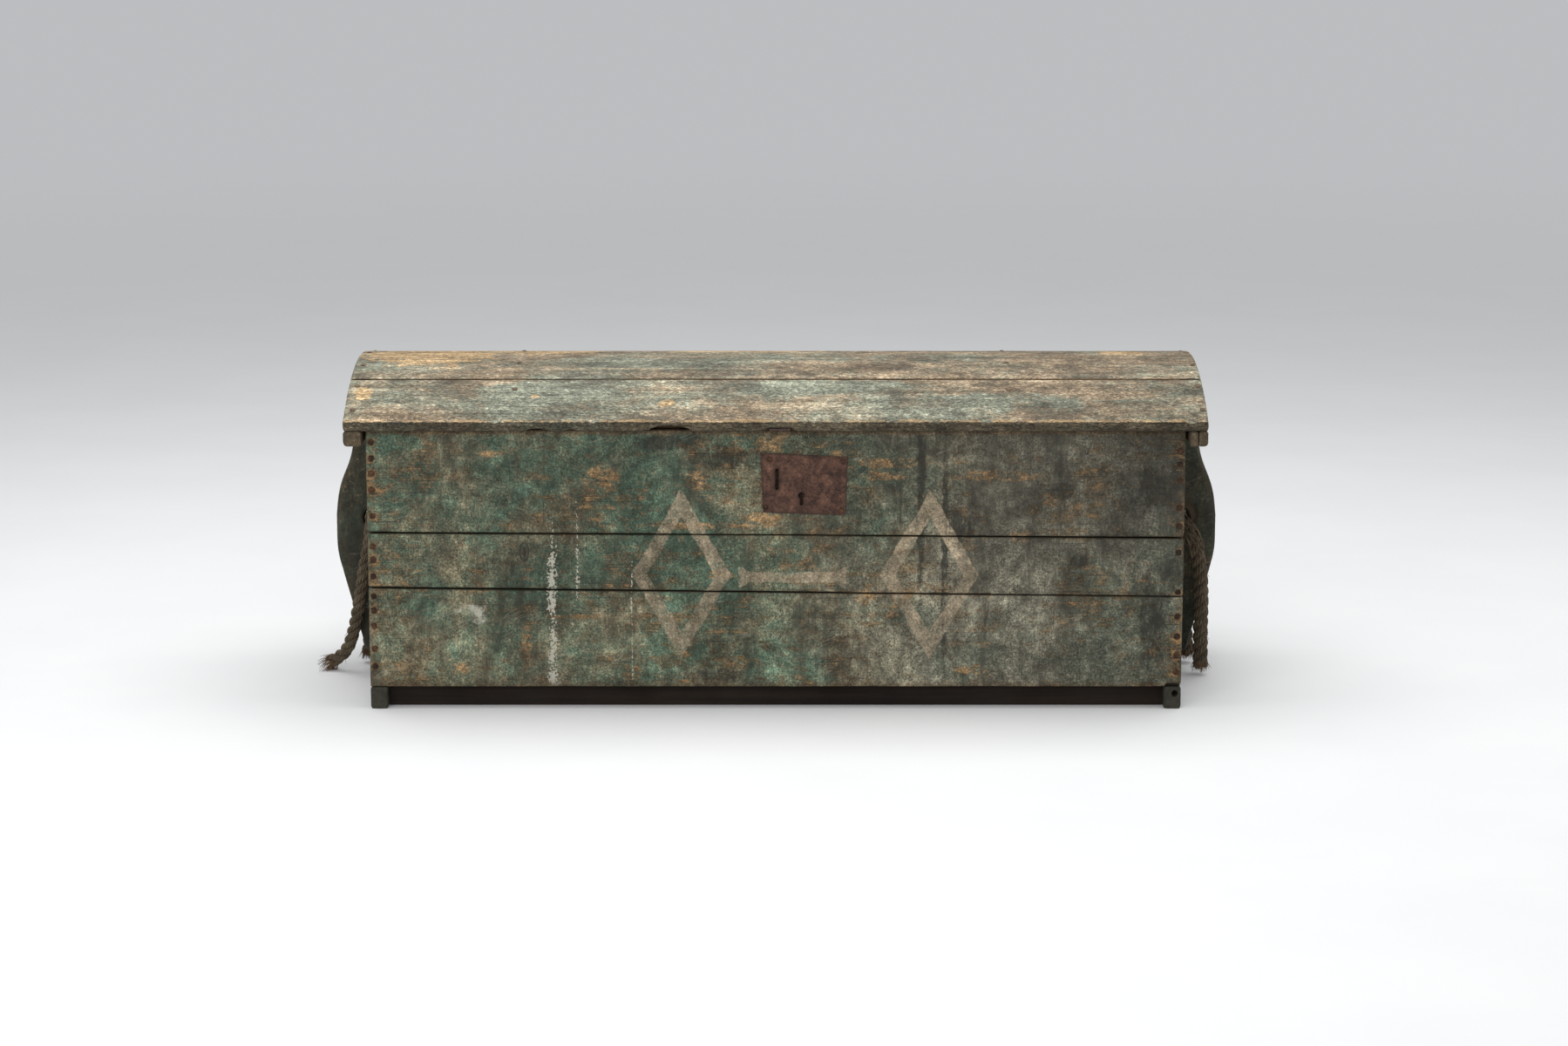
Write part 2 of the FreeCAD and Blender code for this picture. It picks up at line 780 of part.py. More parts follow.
cleat_top = lid_under - d.cheek_drop - d.cleat_lid_clearance
cleat_holes = {"left": holes_cleat_left, "right": holes_cleat_right}
for side, word in ((-1, "left"), (1, "right")):
    corners = [
        (half_length * side, box_foot),
        ((half_length + d.cleat_out_foot) * side, box_foot),
        ((half_length + d.cleat_out_most) * side, cleat_top - d.cleat_belly_drop),
        ((half_length + d.cleat_out_most) * side, cleat_top - d.cleat_most_drop),
        ((half_length + d.cleat_out_shoulder) * side, cleat_top - d.cleat_shoulder_drop),
        ((half_length + d.cleat_out_neck) * side, cleat_top - d.cleat_neck_drop),
        ((half_length + d.cleat_out_top) * side, cleat_top),
        (half_length * side, cleat_top),
    ]
    blank = prism(
        f"cleat_{word}_blank",
        "XZ_Plane",
        corners if side > 0 else corners[::-1],
        d.cleat_thick,
        y=d.cleat_back_of_middle + d.cleat_thick / 2,
    )
    bends = (corners[2], corners[3], corners[4], corners[5])

    def at_bend(edge, at, bends=bends):
        return runs_along(edge, "y") and any(near(at.x, x) and near(at.z, z) for x, z in bends)

    round_edges(blank, d.cleat_round, at_bend, "Bends")
    faces = (NONE, -d.cleat_thick)

    def at_rim(edge, at, faces=faces):
        outside = abs(at.x) > half_length.value + NEAR
        return outside and box_foot.value < at.z < cleat_top.value and near(at.y, *faces)

    bevel_edges(blank, d.cleat_edge_bevel, at_rim, "Rim")
    unbored = blank.Tip
    bore = sketch_on(blank, "XZ_Plane", f"cleat_{word}_bore")
    ring(bore, (half_length + d.rope_hole_out) * side, d.rope_hole_above_floor, d.rope_hole / 2)
    pocket = blank.newObject("PartDesign::Pocket", f"cleat_{word}_pocket")
    pocket.Profile = bore
    pocket.Type = "ThroughAll"
    pocket.Reversed = True
    doc.recompute()
    if unbored.Shape.Volume - pocket.Shape.Volume < (d.rope_hole * d.rope_hole * d.cleat_thick).value / 2:
        raise RuntimeError(f"cleat_{word} isn't bored")

    def at_mouth(edge, at, faces=faces):
        ringed = isinstance(edge.Curve, Part.Circle) and abs(edge.Curve.Axis.y) > STRAIGHT_SHARE
        return ringed and near(edge.Curve.Radius, d.rope_hole / 2) and near(at.y, *faces)

    bevel_edges(blank, d.rope_hole_bevel, at_mouth, "Mouth")
    node(cut(f"cleat_{word}_cut", blank, [cleat_holes[word]]), f"cleat_{word}")

# Lid: three boards planed to one round top, flat underneath, seated on the box's top edge


def at_lid_end(edge, at):
    """The round top's two end edges."""
    across = isinstance(edge.Curve, Part.Circle) and near(edge.Curve.Radius, lid_radius)
    return across and near(at.x, NONE, lid_length)


def lid_edge_board(word, side, tools):
    """The front or back board of the lid. side is -1 for the front."""
    corners = [
        (half_lid_depth * side, lid_under),
        (half_lid_depth * side, lid_edge_top),
        (lid_joint * side, lid_top(lid_joint)),
        (under_joint * side, ceiling),
        (seat_inner * side, lid_under),
    ]
    # As written the corners run anticlockwise for the back board.
    ordered, round_side = (corners[::-1], 2) if side < 0 else (corners, 1)
    name = f"lid_board_{word}"
    arc = (round_side, lid_radius)
    blank = prism(f"{name}_blank", "YZ_Plane", ordered, lid_length, [arc], x=lid_low_x)

    def at_edge(edge, at):
        outer = near(at.y, half_lid_depth * side)
        return runs_along(edge, "x") and outer and near(at.z, lid_edge_top, lid_under)

    round_edges(blank, d.lid_edge_round, at_edge)
    round_edges(blank, d.lid_end_round, at_lid_end, "Ends")
    node(cut(f"{name}_cut", blank, lid_holes + tools), name)


lid_low_x = -half_lid
lid_holes = [holes_lid_left, holes_lid_right, holes_ribs]
bite_radius = (d.bite_length * d.bite_length / d.bite_tall / 4 + d.bite_tall) / 2
bite = rod(
    "lid_bite",
    (-d.bite_from_middle, -half_lid_depth - d.cut_over, lid_under + d.bite_tall - bite_radius),
    bite_radius,
    d.bite_deep + d.cut_over,
    "y",
)
hasp_notch = block(
    "hasp_notch",
    (
        d.hasp_notch_from_middle - d.hasp_notch_wide / 2,
        -half_lid_depth - d.cut_over,
        lid_under - d.cut_over,
    ),
    d.hasp_notch_wide,
    d.hasp_notch_deep + d.cut_over,
    d.hasp_notch_tall + d.cut_over,
)
hasp_bed = block(
    "hasp_bed",
    (
        d.hasp_notch_from_middle - d.hasp_leaf_wide / 2 - d.nail_hole_clearance,
        -half_lid_depth - d.cut_over,
        lid_under - d.cut_over,
    ),
    d.hasp_leaf_wide + d.nail_hole_clearance * 2,
    d.hasp_notch_deep + d.hasp_leaf_deep + d.nail_hole_clearance + d.cut_over,
    d.hasp_leaf_thick + d.cut_over,
)
lid_edge_board("front", -1, [bite, hasp_notch, hasp_bed])
lid_edge_board("back", 1, [])

middle_joint = lid_joint - d.lid_joint_gap
middle_under = under_joint - d.lid_joint_gap
middle_corners = [
    (-middle_under, ceiling),
    (middle_under, ceiling),
    (middle_joint, lid_top(middle_joint)),
    (-middle_joint, lid_top(middle_joint)),
]
middle_board = prism(
    "lid_board_middle_blank", "YZ_Plane", middle_corners, lid_length, [(2, lid_radius)], x=lid_low_x
)
round_edges(middle_board, d.lid_end_round, at_lid_end, "Ends")
node(cut("lid_board_middle_cut", middle_board, lid_holes + [holes_strap_lid]), "lid_board_middle")

cheek_corners = [
    (-half_lid_depth, lid_under - d.cheek_drop),
    (half_lid_depth, lid_under - d.cheek_drop),
    (half_lid_depth, lid_under),
    (seat_inner, lid_under),
    (under_joint, ceiling),
    (-under_joint, ceiling),
    (-seat_inner, lid_under),
    (-half_lid_depth, lid_under),
]
cheek_inner = half_lid - d.cheek_thick
layer_start = cheek_inner + d.cheek_inner_layer + d.cheek_layer_gap
for name, low_x, thick, side, holes in (
    ("lid_cheek_left", -half_lid, d.cheek_thick, -1, holes_lid_left),
    ("lid_cheek_right_inner", cheek_inner, d.cheek_inner_layer, 0, holes_lid_right),
    ("lid_cheek_right_outer", layer_start, half_lid - layer_start, 1, holes_lid_right),
):
    blank = prism(f"{name}_blank", "YZ_Plane", cheek_corners, thick, x=low_x)
    if side:
        outer = NONE if side < 0 else thick

        def at_foot(edge, at, outer=outer):
            return runs_along(edge, "y") and near(at.z, lid_under - d.cheek_drop) and near(at.x, outer)

        round_edges(blank, d.cheek_round, at_foot)
    node(cut(f"{name}_cut", blank, [holes]), name)



def at_rib_foot(edge, at):
    return runs_along(edge, "y") and near(at.z, lid_under)


rib_corners = [
    (-seat_inner, lid_under),
    (seat_inner, lid_under),
    (under_joint, ceiling),
    (-under_joint, ceiling),
]
for word, middle in (("left", -rib_left_from_middle), ("right", rib_right_from_middle)):
    blank = prism(f"rib_{word}_blank", "YZ_Plane", rib_corners, d.rib_thick, x=middle - d.rib_thick / 2)
    round_edges(blank, d.rib_round, at_rib_foot)
    node(cut(f"rib_{word}_cut", blank, [holes_ribs]), f"lid_rib_{word}")

# Strap hinges

corner_shift = d.strap_thick * (slope_length - slope_run) / slope_rise
strap_path = [
    (pin_back, lid_under),
    (seat_inner, lid_under),
    (under_joint, ceiling),
    (d.strap_lid_end_from_middle, ceiling),
    (d.strap_lid_end_from_middle, ceiling - d.strap_thick),
    (under_joint - corner_shift, ceiling - d.strap_thick),
    (seat_inner - corner_shift, lid_under - d.strap_thick),
    (pin_back, lid_under - d.strap_thick),
]
third = d.strap_wide / 3

for side, word in ((-1, "left"), (1, "right")):
    middle = hinge_from_middle * side
    left_edge = middle - d.strap_wide / 2
    bore = rod(
        f"hinge_{word}_bore",
        (left_edge - d.cut_over, pin_back, pin_up),
        d.pin_radius + d.pin_clearance,
        d.strap_wide + d.cut_over * 2,
        "x",
    )
    profile = prism(f"strap_{word}_profile", "YZ_Plane", strap_path, d.strap_wide, x=left_edge)
    plan = prism(
        f"strap_{word}_plan",
        "XY_Plane",
        [
            (middle - d.strap_tip_wide / 2, d.strap_lid_end_from_middle),
            (middle + d.strap_tip_wide / 2, d.strap_lid_end_from_middle),
            (middle + d.strap_wide / 2, seat_inner),
            (middle + d.strap_wide / 2, half_depth + d.strap_clearance),
            (middle + third / 2 - d.knuckle_gap, half_depth + d.strap_clearance),
            (middle + third / 2 - d.knuckle_gap, pin_back),
            (middle - third / 2 + d.knuckle_gap, pin_back),
            (middle - third / 2 + d.knuckle_gap, half_depth + d.strap_clearance),
            (middle - d.strap_wide / 2, half_depth + d.strap_clearance),
            (middle - d.strap_wide / 2, seat_inner),
        ],
        ceiling,
    )
    strap = doc.addObject("Part::MultiCommon", f"strap_{word}")
    strap.Shapes = [profile, plan]
    centre_low = (middle - third / 2 + d.knuckle_gap, pin_back, pin_up)
    centre_long = third - d.knuckle_gap * 2
    centre_knuckle = rod(f"hinge_{word}_centre", centre_low, d.knuckle_radius, centre_long, "x")
    whole = joined("Part::MultiFuse", f"hinge_{word}_lid_whole", [strap, centre_knuckle])
    node(cut(f"hinge_{word}_lid_cut", whole, [bore, holes_strap_lid]), f"hinge_{word}_lid_strap")

    half_wide = d.strap_wide / 2
    back_low_z = pin_up - d.strap_back_tall
    leaf = prism(
        f"hinge_{word}_leaf",
        "XZ_Plane",
        [
            (middle - d.strap_tip_wide / 2, back_low_z),
            (middle, back_low_z - d.strap_tip_wide / 2),
            (middle + d.strap_tip_wide / 2, back_low_z),
            (middle + half_wide, pin_up - d.strap_wide),
            (middle + half_wide, pin_up),
            (middle + third / 2, pin_up),
            (middle + third / 2, pin_up - d.knuckle_radius - d.knuckle_gap),
            (middle - third / 2, pin_up - d.knuckle_radius - d.knuckle_gap),
            (middle - third / 2, pin_up),
            (middle - half_wide, pin_up),
            (middle - half_wide, pin_up - d.strap_wide),
        ],
        d.strap_thick,
        y=half_depth + d.strap_thick,
    )
    outer_radius = d.knuckle_radius - d.strap_clearance
    ears = [
        rod(f"hinge_{word}_ear_{i}", (low, pin_back, pin_up), outer_radius, third, "x")
        for i, low in enumerate((middle - half_wide, middle + third / 2))
    ]
    whole = joined("Part::MultiFuse", f"hinge_{word}_back_whole", [leaf] + ears)
    node(cut(f"hinge_{word}_back_cut", whole, [bore, holes_strap_back]), f"hinge_{word}_back_leaf")

    shaft = rod(f"hinge_{word}_shaft", (left_edge, pin_back, pin_up), d.pin_radius, d.strap_wide, "x")
    head = rod(
        f"hinge_{word}_head",
        (left_edge - d.pin_head_thick, pin_back, pin_up),
        d.pin_head_radius,
        d.pin_head_thick,
        "x",
    )
    node(joined("Part::MultiFuse", f"hinge_{word}_pin_whole", [shaft, head]), f"hinge_{word}_pin")

# Lock

plate_left = -d.plate_left_from_middle
plate_right = d.plate_right_from_middle
plate_corners = [
    (plate_left + d.plate_flare, box_top - d.plate_foot_drop_left),
    (plate_right - d.plate_flare, box_top - d.plate_foot_drop_right),
    (plate_right + d.plate_flare, box_top - d.plate_top_drop_right),
    (plate_left - d.plate_flare, box_top - d.plate_top_drop_left),
]
plate_blank = prism("lock_plate_blank", "XZ_Plane", plate_corners, d.plate_thick, y=-half_depth)
plate_front = -half_depth - d.plate_thick - d.cut_over
through = d.plate_thick + d.cut_over * 2
slot = block(
    "staple_slot",
    (d.slot_from_middle - d.slot_wide / 2, plate_front, box_top - d.slot_top_drop - d.slot_tall),
    d.slot_wide,
    through,
    d.slot_tall,
)
keyhole_up = box_top - d.keyhole_drop
key_centre = (d.keyhole_from_middle, plate_front, keyhole_up)
key_round = rod("keyhole_round", key_centre, d.keyhole_radius, through, "y")
key_slot = block(
    "keyhole_slot",
    (d.keyhole_from_middle - d.keyhole_slot_wide / 2, plate_front, keyhole_up - d.keyhole_slot_tall),
    d.keyhole_slot_wide,
    through,
    d.keyhole_slot_tall,
)
node(cut("lock_plate_cut", plate_blank, [slot, key_round, key_slot, rivet_holes]), "lock_plate")

case_long = d.case_left_from_middle + d.case_right_from_middle
case_corner = (-d.case_left_from_middle, -half_depth, case_low)
case_body = block("case_body", case_corner, case_long, d.case_deep, d.case_tall)
case_hollow = block(
    "case_hollow",
    (
        d.case_wall - d.case_left_from_middle,
        -half_depth - d.cut_over,
        case_low + d.case_wall,
    ),
    case_long - d.case_wall * 2,
    d.case_deep - d.case_wall + d.cut_over,
    d.case_tall - d.case_wall * 2,
)
case_back = -half_depth + d.case_deep - d.case_wall
bolt_back = case_back - d.bolt_clearance
slot_middle = box_top - d.slot_top_drop - d.slot_tall / 2
bolt_low = slot_middle - d.bolt_tall / 2
stud_x = d.bolt_tip_from_middle + d.bolt_length - d.bolt_travel - d.stud_from_end
stud_start = (stud_x, case_back - d.stud_tall, slot_middle)
stud = rod("case_stud", stud_start, d.stud_radius, d.stud_tall + d.case_wall / 2, "y")
case_open = cut("case_open", case_body, [case_hollow])
node(joined("Part::MultiFuse", "case_whole", [case_open, stud]), "lock_case")

bolt_bar = block(
    "bolt_bar",
    (d.bolt_tip_from_middle, bolt_back - d.bolt_thick, bolt_low),
    d.bolt_length,
    d.bolt_thick,
    d.bolt_tall,
)
talon = block(
    "bolt_talon",
    (
        d.keyhole_from_middle - d.talon_wide / 2,
        bolt_back - d.bolt_thick - d.cut_over,
        bolt_low - d.cut_over,
    ),
    d.talon_wide,
    d.bolt_thick + d.cut_over * 2,
    d.talon_tall + d.cut_over,
)
guide_half = d.stud_radius + d.bolt_clearance
guide = block(
    "bolt_guide",
    (stud_x - guide_half, bolt_back - d.bolt_thick - d.cut_over, slot_middle - guide_half),
    d.bolt_travel + guide_half * 2,
    d.bolt_thick + d.cut_over * 2,
    guide_half * 2,
)
node(cut("bolt_cut", bolt_bar, [talon, guide]), "lock_bolt")

spring_foot = bolt_low + d.bolt_tall + d.bolt_clearance
spring_left = d.bolt_tip_from_middle + (d.bolt_length - d.spring_length) / 2 - d.bolt_travel / 2
spring_right = spring_left + d.spring_length
spring_middle = (spring_left + spring_right) / 2
spring_top = case_low + d.case_tall - d.case_wall
spring = prism(
    "spring_strip",
    "XZ_Plane",
    [
        (spring_middle, spring_foot),
        (spring_right, spring_top - d.spring_thick),
        (spring_right, spring_top),
        (spring_middle, spring_foot + d.spring_thick),
        (spring_left, spring_top),
        (spring_left, spring_top - d.spring_thick),
    ],
    d.spring_wide,
    y=bolt_back,
)
node(spring, "lock_spring")

# Stub of the lost hasp's hinge, in its notch in the lid's front edge

stub_y = -half_lid_depth + d.hasp_notch_deep
leaf_x = d.hasp_notch_from_middle - d.hasp_leaf_wide / 2
stub_leaf = block(
    "hasp_leaf",
    (leaf_x, stub_y - d.hasp_barrel_radius, lid_under),
    d.hasp_leaf_wide,
    d.hasp_leaf_deep + d.hasp_barrel_radius,
    d.hasp_leaf_thick,
)
stub_up = lid_under + d.hasp_barrel_radius - d.lid_clearance
stub_centre_y = stub_y - d.hasp_barrel_radius
stub_pin = rod("hasp_pin", (leaf_x, stub_centre_y, stub_up), d.hasp_pin_radius, d.hasp_leaf_wide, "x")
stub_barrel = rod(
    "hasp_barrel",
    (leaf_x + d.hasp_leaf_wide - d.hasp_barrel_long, stub_centre_y, stub_up),
    d.hasp_barrel_radius,
    d.hasp_barrel_long,
    "x",
)
node(joined("Part::MultiFuse", "hasp_stub_whole", [stub_leaf, stub_pin, stub_barrel]), "hasp_hinge_stub")

# Rope tails, hanging from the hole in each cleat to the floor

ROPES = {
    "rope_left_front": [
        (-621.5, 36, 241.5),
        (-621.5, 6, 241.5),
        (-622, -13, 235.5),
        (-623, -22, 214.5),
        (-631, -20, 180),
        (-642, -12, 118),
        (-653, -4, 62),
        (-669, 2, 26),
        (-693, 4, 13.5),
    ],
    "rope_left_back": [
        (-621.5, 36, 241.5),
        (-621.5, 66, 241.5),
        (-622, 85, 235.5),
        (-623, 94, 214.5),
        (-625, 93, 175),
        (-630, 88, 115),
        (-636, 84, 60),
        (-641, 84, 14),
    ],
    "rope_right_front": [
        (621.5, 36, 241.5),
        (621.5, 6, 241.5),
        (628, -13, 235.5),
        (641, -21, 213),
        (651, -18, 178),
        (655, -10, 118),
        (655, -4, 62),
        (657, 1, 14),
    ],
    "rope_right_back": [
        (621.5, 36, 241.5),
        (621.5, 66, 241.5),
        (623, 85, 235.5),
        (627, 94, 214.5),
        (632, 93, 175),
        (637, 88, 115),
        (641, 84, 60),
        (645, 84, 14),
    ],
}
ARC_SHARE = 0.45
ROPE_SIDES = 8


def rope_path(name, at):
    """Straight runs joined by tangent arcs, each as large as its two runs allow."""
    edges = []
    radii = []
    start = at[0]
    for before, corner, after in zip(at, at[1:], at[2:]):
        into = corner - before
        out = after - corner
        half_turn = into.getAngle(out) / 2
        setback = ARC_SHARE * min(into.Length, out.Length)
        radius = setback / math.tan(half_turn)
        first = corner - V(into).normalize() * setback
        last = corner + V(out).normalize() * setback
        towards = ((first + last) / 2 - corner).normalize()
        middle = corner + towards * (radius / math.cos(half_turn) - radius)
        edges.append(Part.LineSegment(start, first).toShape())
        edges.append(Part.Arc(first, middle, last).toShape())
        radii.append(round(radius))
        start = last
    edges.append(Part.LineSegment(start, at[-1]).toShape())
    print(name, "radii", radii)
    return Part.Wire(edges)


def rope_section(centre, way):
    """A plain section with flat sides and the round rope's area, square to the way that it runs."""
    corner_turn = 2 * math.pi / ROPE_SIDES
    radius = d.rope_diameter.value / 2 * math.sqrt(corner_turn / math.sin(corner_turn))
    across = way.cross(V(0, 0, 1)).normalize()
    up = across.cross(way)
    turns = [corner_turn * (i + 0.5) for i in range(ROPE_SIDES)]
    corners = [centre + across * (radius * math.cos(t)) + up * (radius * math.sin(t)) for t in turns]
    return Part.makePolygon(corners + corners[:1])


for name, route in ROPES.items():
    points = [V(*point) for point in route]
    path = rope_path(name, points)
    sweep = Part.BRepOffsetAPI.MakePipeShell(path)
    sweep.add(rope_section(points[0], (points[1] - points[0]).normalize()))
    sweep.build()
    sweep.makeSolid()
    tube = sweep.shape()
    wanted = math.pi * (d.rope_diameter.value / 2) ** 2 * path.Length
    print(name, "length", round(path.Length), "volume share", round(tube.Volume / wanted, 4))
    node(loose(f"{name}_tube", tube), name)

# Check and write

doc.recompute()
for thing in doc.Objects:
    if "Invalid" in thing.State or "Error" in thing.State:
        raise RuntimeError(f"{thing.Name} failed: {thing.State}")
os.makedirs("parts", exist_ok=True)
for thing in NODES:
    if thing.Shape.isNull() or not thing.Shape.isValid():
        raise RuntimeError(f"{thing.Label} has no valid shape")
    thing.Shape.exportStep(os.path.join("parts", f"{thing.Label}.step"))
print(len(NODES), "nodes written")
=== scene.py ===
"""The storage chest as it looks: worn boards, old blue-green paint, rust, and rope of three strands.

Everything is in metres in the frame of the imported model: X along the chest, Y from front to back, Z up."""

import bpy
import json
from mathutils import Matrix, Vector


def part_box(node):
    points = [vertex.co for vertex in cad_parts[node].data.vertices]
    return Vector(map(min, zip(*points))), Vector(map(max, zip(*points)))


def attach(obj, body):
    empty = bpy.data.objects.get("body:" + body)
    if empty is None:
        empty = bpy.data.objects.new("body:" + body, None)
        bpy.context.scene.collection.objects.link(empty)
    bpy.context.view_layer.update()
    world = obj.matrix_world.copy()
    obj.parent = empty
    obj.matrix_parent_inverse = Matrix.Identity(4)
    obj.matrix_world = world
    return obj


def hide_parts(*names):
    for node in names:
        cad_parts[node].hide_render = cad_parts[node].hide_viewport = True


bl_info = {
    "name": "Storage chest",
    "version": (1, 0, 0),
    "blender": (4, 5, 0),
    "location": "View3D > Sidebar > Chest",
    "description": "Dresses a painted board chest with worn paint, rusty iron and rope tails",
    "category": "Object",
}

import json
import math
import random

import bmesh
import bpy
from mathutils import Vector, noise
from mathutils.kdtree import KDTree

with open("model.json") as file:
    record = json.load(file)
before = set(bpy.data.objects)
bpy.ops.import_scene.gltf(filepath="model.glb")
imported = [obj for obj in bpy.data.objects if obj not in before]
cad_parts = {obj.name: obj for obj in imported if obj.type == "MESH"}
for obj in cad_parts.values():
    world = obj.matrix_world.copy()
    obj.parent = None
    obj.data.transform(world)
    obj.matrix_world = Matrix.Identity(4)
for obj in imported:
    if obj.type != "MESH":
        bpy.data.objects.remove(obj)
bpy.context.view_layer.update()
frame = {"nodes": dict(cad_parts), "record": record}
RECORD = frame["record"]
BODY_OF = {node: body for body, nodes in RECORD["behaviour"]["bodies"].items() for node in nodes}

BOX_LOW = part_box("front_board_lower")[0]
BOX_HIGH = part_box("back_board_upper")[1]
LID_LOW, LID_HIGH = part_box("lid_board_front")
# How near to the outside a point counts as a part of the painted skin
SKIN = 0.003
# How tall the lid's front edge is, and how deep dirt lies in the joints between boards
LID_EDGE_TALL = 0.016
JOINT_DIRT = 0.014
# Where the lid's underside begins to overhang the box, from the middle
RIM_BACK = -BOX_LOW.y
RIM_END = BOX_HIGH.x


def colour(name, description, default):
    return bpy.props.FloatVectorProperty(
        name=name, description=description, default=(*default, 1.0), size=4, subtype="COLOR", min=0.0, max=1.0
    )


def length(name, description, default):
    return bpy.props.FloatProperty(
        name=name, description=description, default=default, min=0.0, unit="LENGTH", precision=4
    )


def power(name, description, default):
    return bpy.props.FloatProperty(name=name, description=description, default=default, unit="POWER")


class ChestColours(bpy.types.PropertyGroup):
    """Colours of the chest's paint, wood, iron and rope."""

    green: colour("Green paint", "Old green paint where it has kept its colour", (0.058, 0.092, 0.062))
    brown: colour("Brown paint", "Paint gone thin and brown with dirt", (0.126, 0.112, 0.07))
    smoked_green: colour("Smoked green", "Green paint of the duller right end", (0.074, 0.081, 0.058))
    smoked_brown: colour("Smoked brown", "Thin paint of the duller right end", (0.112, 0.105, 0.077))
    # Dark dirt, also painted as shade in the gaps under the lid's chipped edge
    grime_and_gap_shade: colour("Grime", "Dark dirt on the paint", (0.022, 0.021, 0.016))
    old_wood: colour("Old wood", "Dirty wood that shows through thin paint", (0.1, 0.07, 0.04))
    bare_wood: colour("Bare wood", "Wood where the paint is knocked off", (0.31, 0.19, 0.085))
    dust: colour("Dust", "Pale specks and scuffs", (0.33, 0.3, 0.22))
    cream: colour("Cream paint", "The painted device", (0.25, 0.2, 0.135))
    lid_green: colour("Lid green", "Green paint left on the lid", (0.215, 0.225, 0.17))
    lid_tan: colour("Lid tan", "Weathered wood of the lid", (0.315, 0.24, 0.158))
    lid_dark: colour("Lid dark grain", "Dirt in the lid's grain", (0.075, 0.064, 0.05))
    lid_bare: colour("Lid bare wood", "Pale wood rubbed bare on the lid", (0.45, 0.31, 0.165))
    edge_wood: colour("Edge wood", "Dirty wood of the lid's front edge and cheeks", (0.064, 0.052, 0.034))
    inside: colour("Inside", "Bare pine inside the chest", (0.3, 0.2, 0.11))
    cleat: colour("Cleat paint", "Dark green paint of the end cleats", (0.03, 0.037, 0.026))
    cleat_brown: colour("Cleat brown", "Thin dark paint of the end cleats", (0.042, 0.037, 0.023))
    plate: colour("Lock plate", "Even rust of the lock plate", (0.07, 0.037, 0.027))
    iron: colour("Iron", "Dark rusted iron of the hinges and nails", (0.045, 0.03, 0.022))
    stain: colour("Rust stain", "Rust that nails have let into the wood", (0.1, 0.055, 0.027))
    rope: colour("Rope", "Weathered rope fibre", (0.15, 0.115, 0.075))
    fray: colour("Frayed fibre", "Clean fibre where the rope has frayed", (0.17, 0.1, 0.05))
    floor: colour("Floor", "Plain pale floor", (0.89, 0.89, 0.89))
    haze: colour("Backdrop", "Plain backdrop far behind the chest", (0.5, 0.51, 0.525))


class ChestSizes(bpy.types.PropertyGroup):
    """How finely the boards are made and how far they are worn."""

    front_grid: length("Front grid", "Size of the faces of the front boards", 0.0026)
    lid_grid: length("Lid grid", "Size of the faces of the lid's boards", 0.003)
    side_grid: length("Side grid", "Size of the faces of the back and end boards", 0.0045)
    small_grid: length("Small grid", "Size of the faces of cheeks, cleats and runners", 0.0024)
    plate_grid: length("Plate grid", "Size of the faces of the lock plate", 0.0009)
    arris_reach: length("Arris reach", "How far from a corner the wood is worn", 0.008)
    stain_reach: length("Stain reach", "How far from a nail its rust has run", 0.013)
    arris_wear: length("Arris wear", "How deep the corners of boards are worn", 0.0022)
    grain_relief: length("Grain relief", "How deep the weathered grain lies", 0.0005)
    rope_lay: length("Rope lay", "Length of one turn of a strand", 0.05)


class ChestStage(bpy.types.PropertyGroup):
    """Camera, floor and lamps."""

    camera_x: length("Camera X", "Place of the camera along the chest", 0.01225)
    camera_back: length("Camera distance", "How far the camera stands in front of the chest's middle", 5.746)
    camera_up: length("Camera height", "Height of the camera above the floor", 1.335)
    camera_tilt: bpy.props.FloatProperty(
        name="Camera tilt", description="How far the camera looks down", default=math.radians(10.8),
        subtype="ANGLE",
    )
    lens: bpy.props.FloatProperty(name="Lens", description="Focal length in millimetres", default=87.35)
    floor_side: length("Floor", "Side of the square floor", 90.0)
    sky: bpy.props.FloatProperty(name="Sky", description="Strength of the even light", default=0.5, min=0.0)
    key: power("Key lamp", "Power of the large lamp above the front", 68.0)
    top: power("Top lamp", "Power of the lamp over the lid", 56.0)
    side: power("Side lamps", "Power of each of the two side lamps", 10.0)


# Shader trees


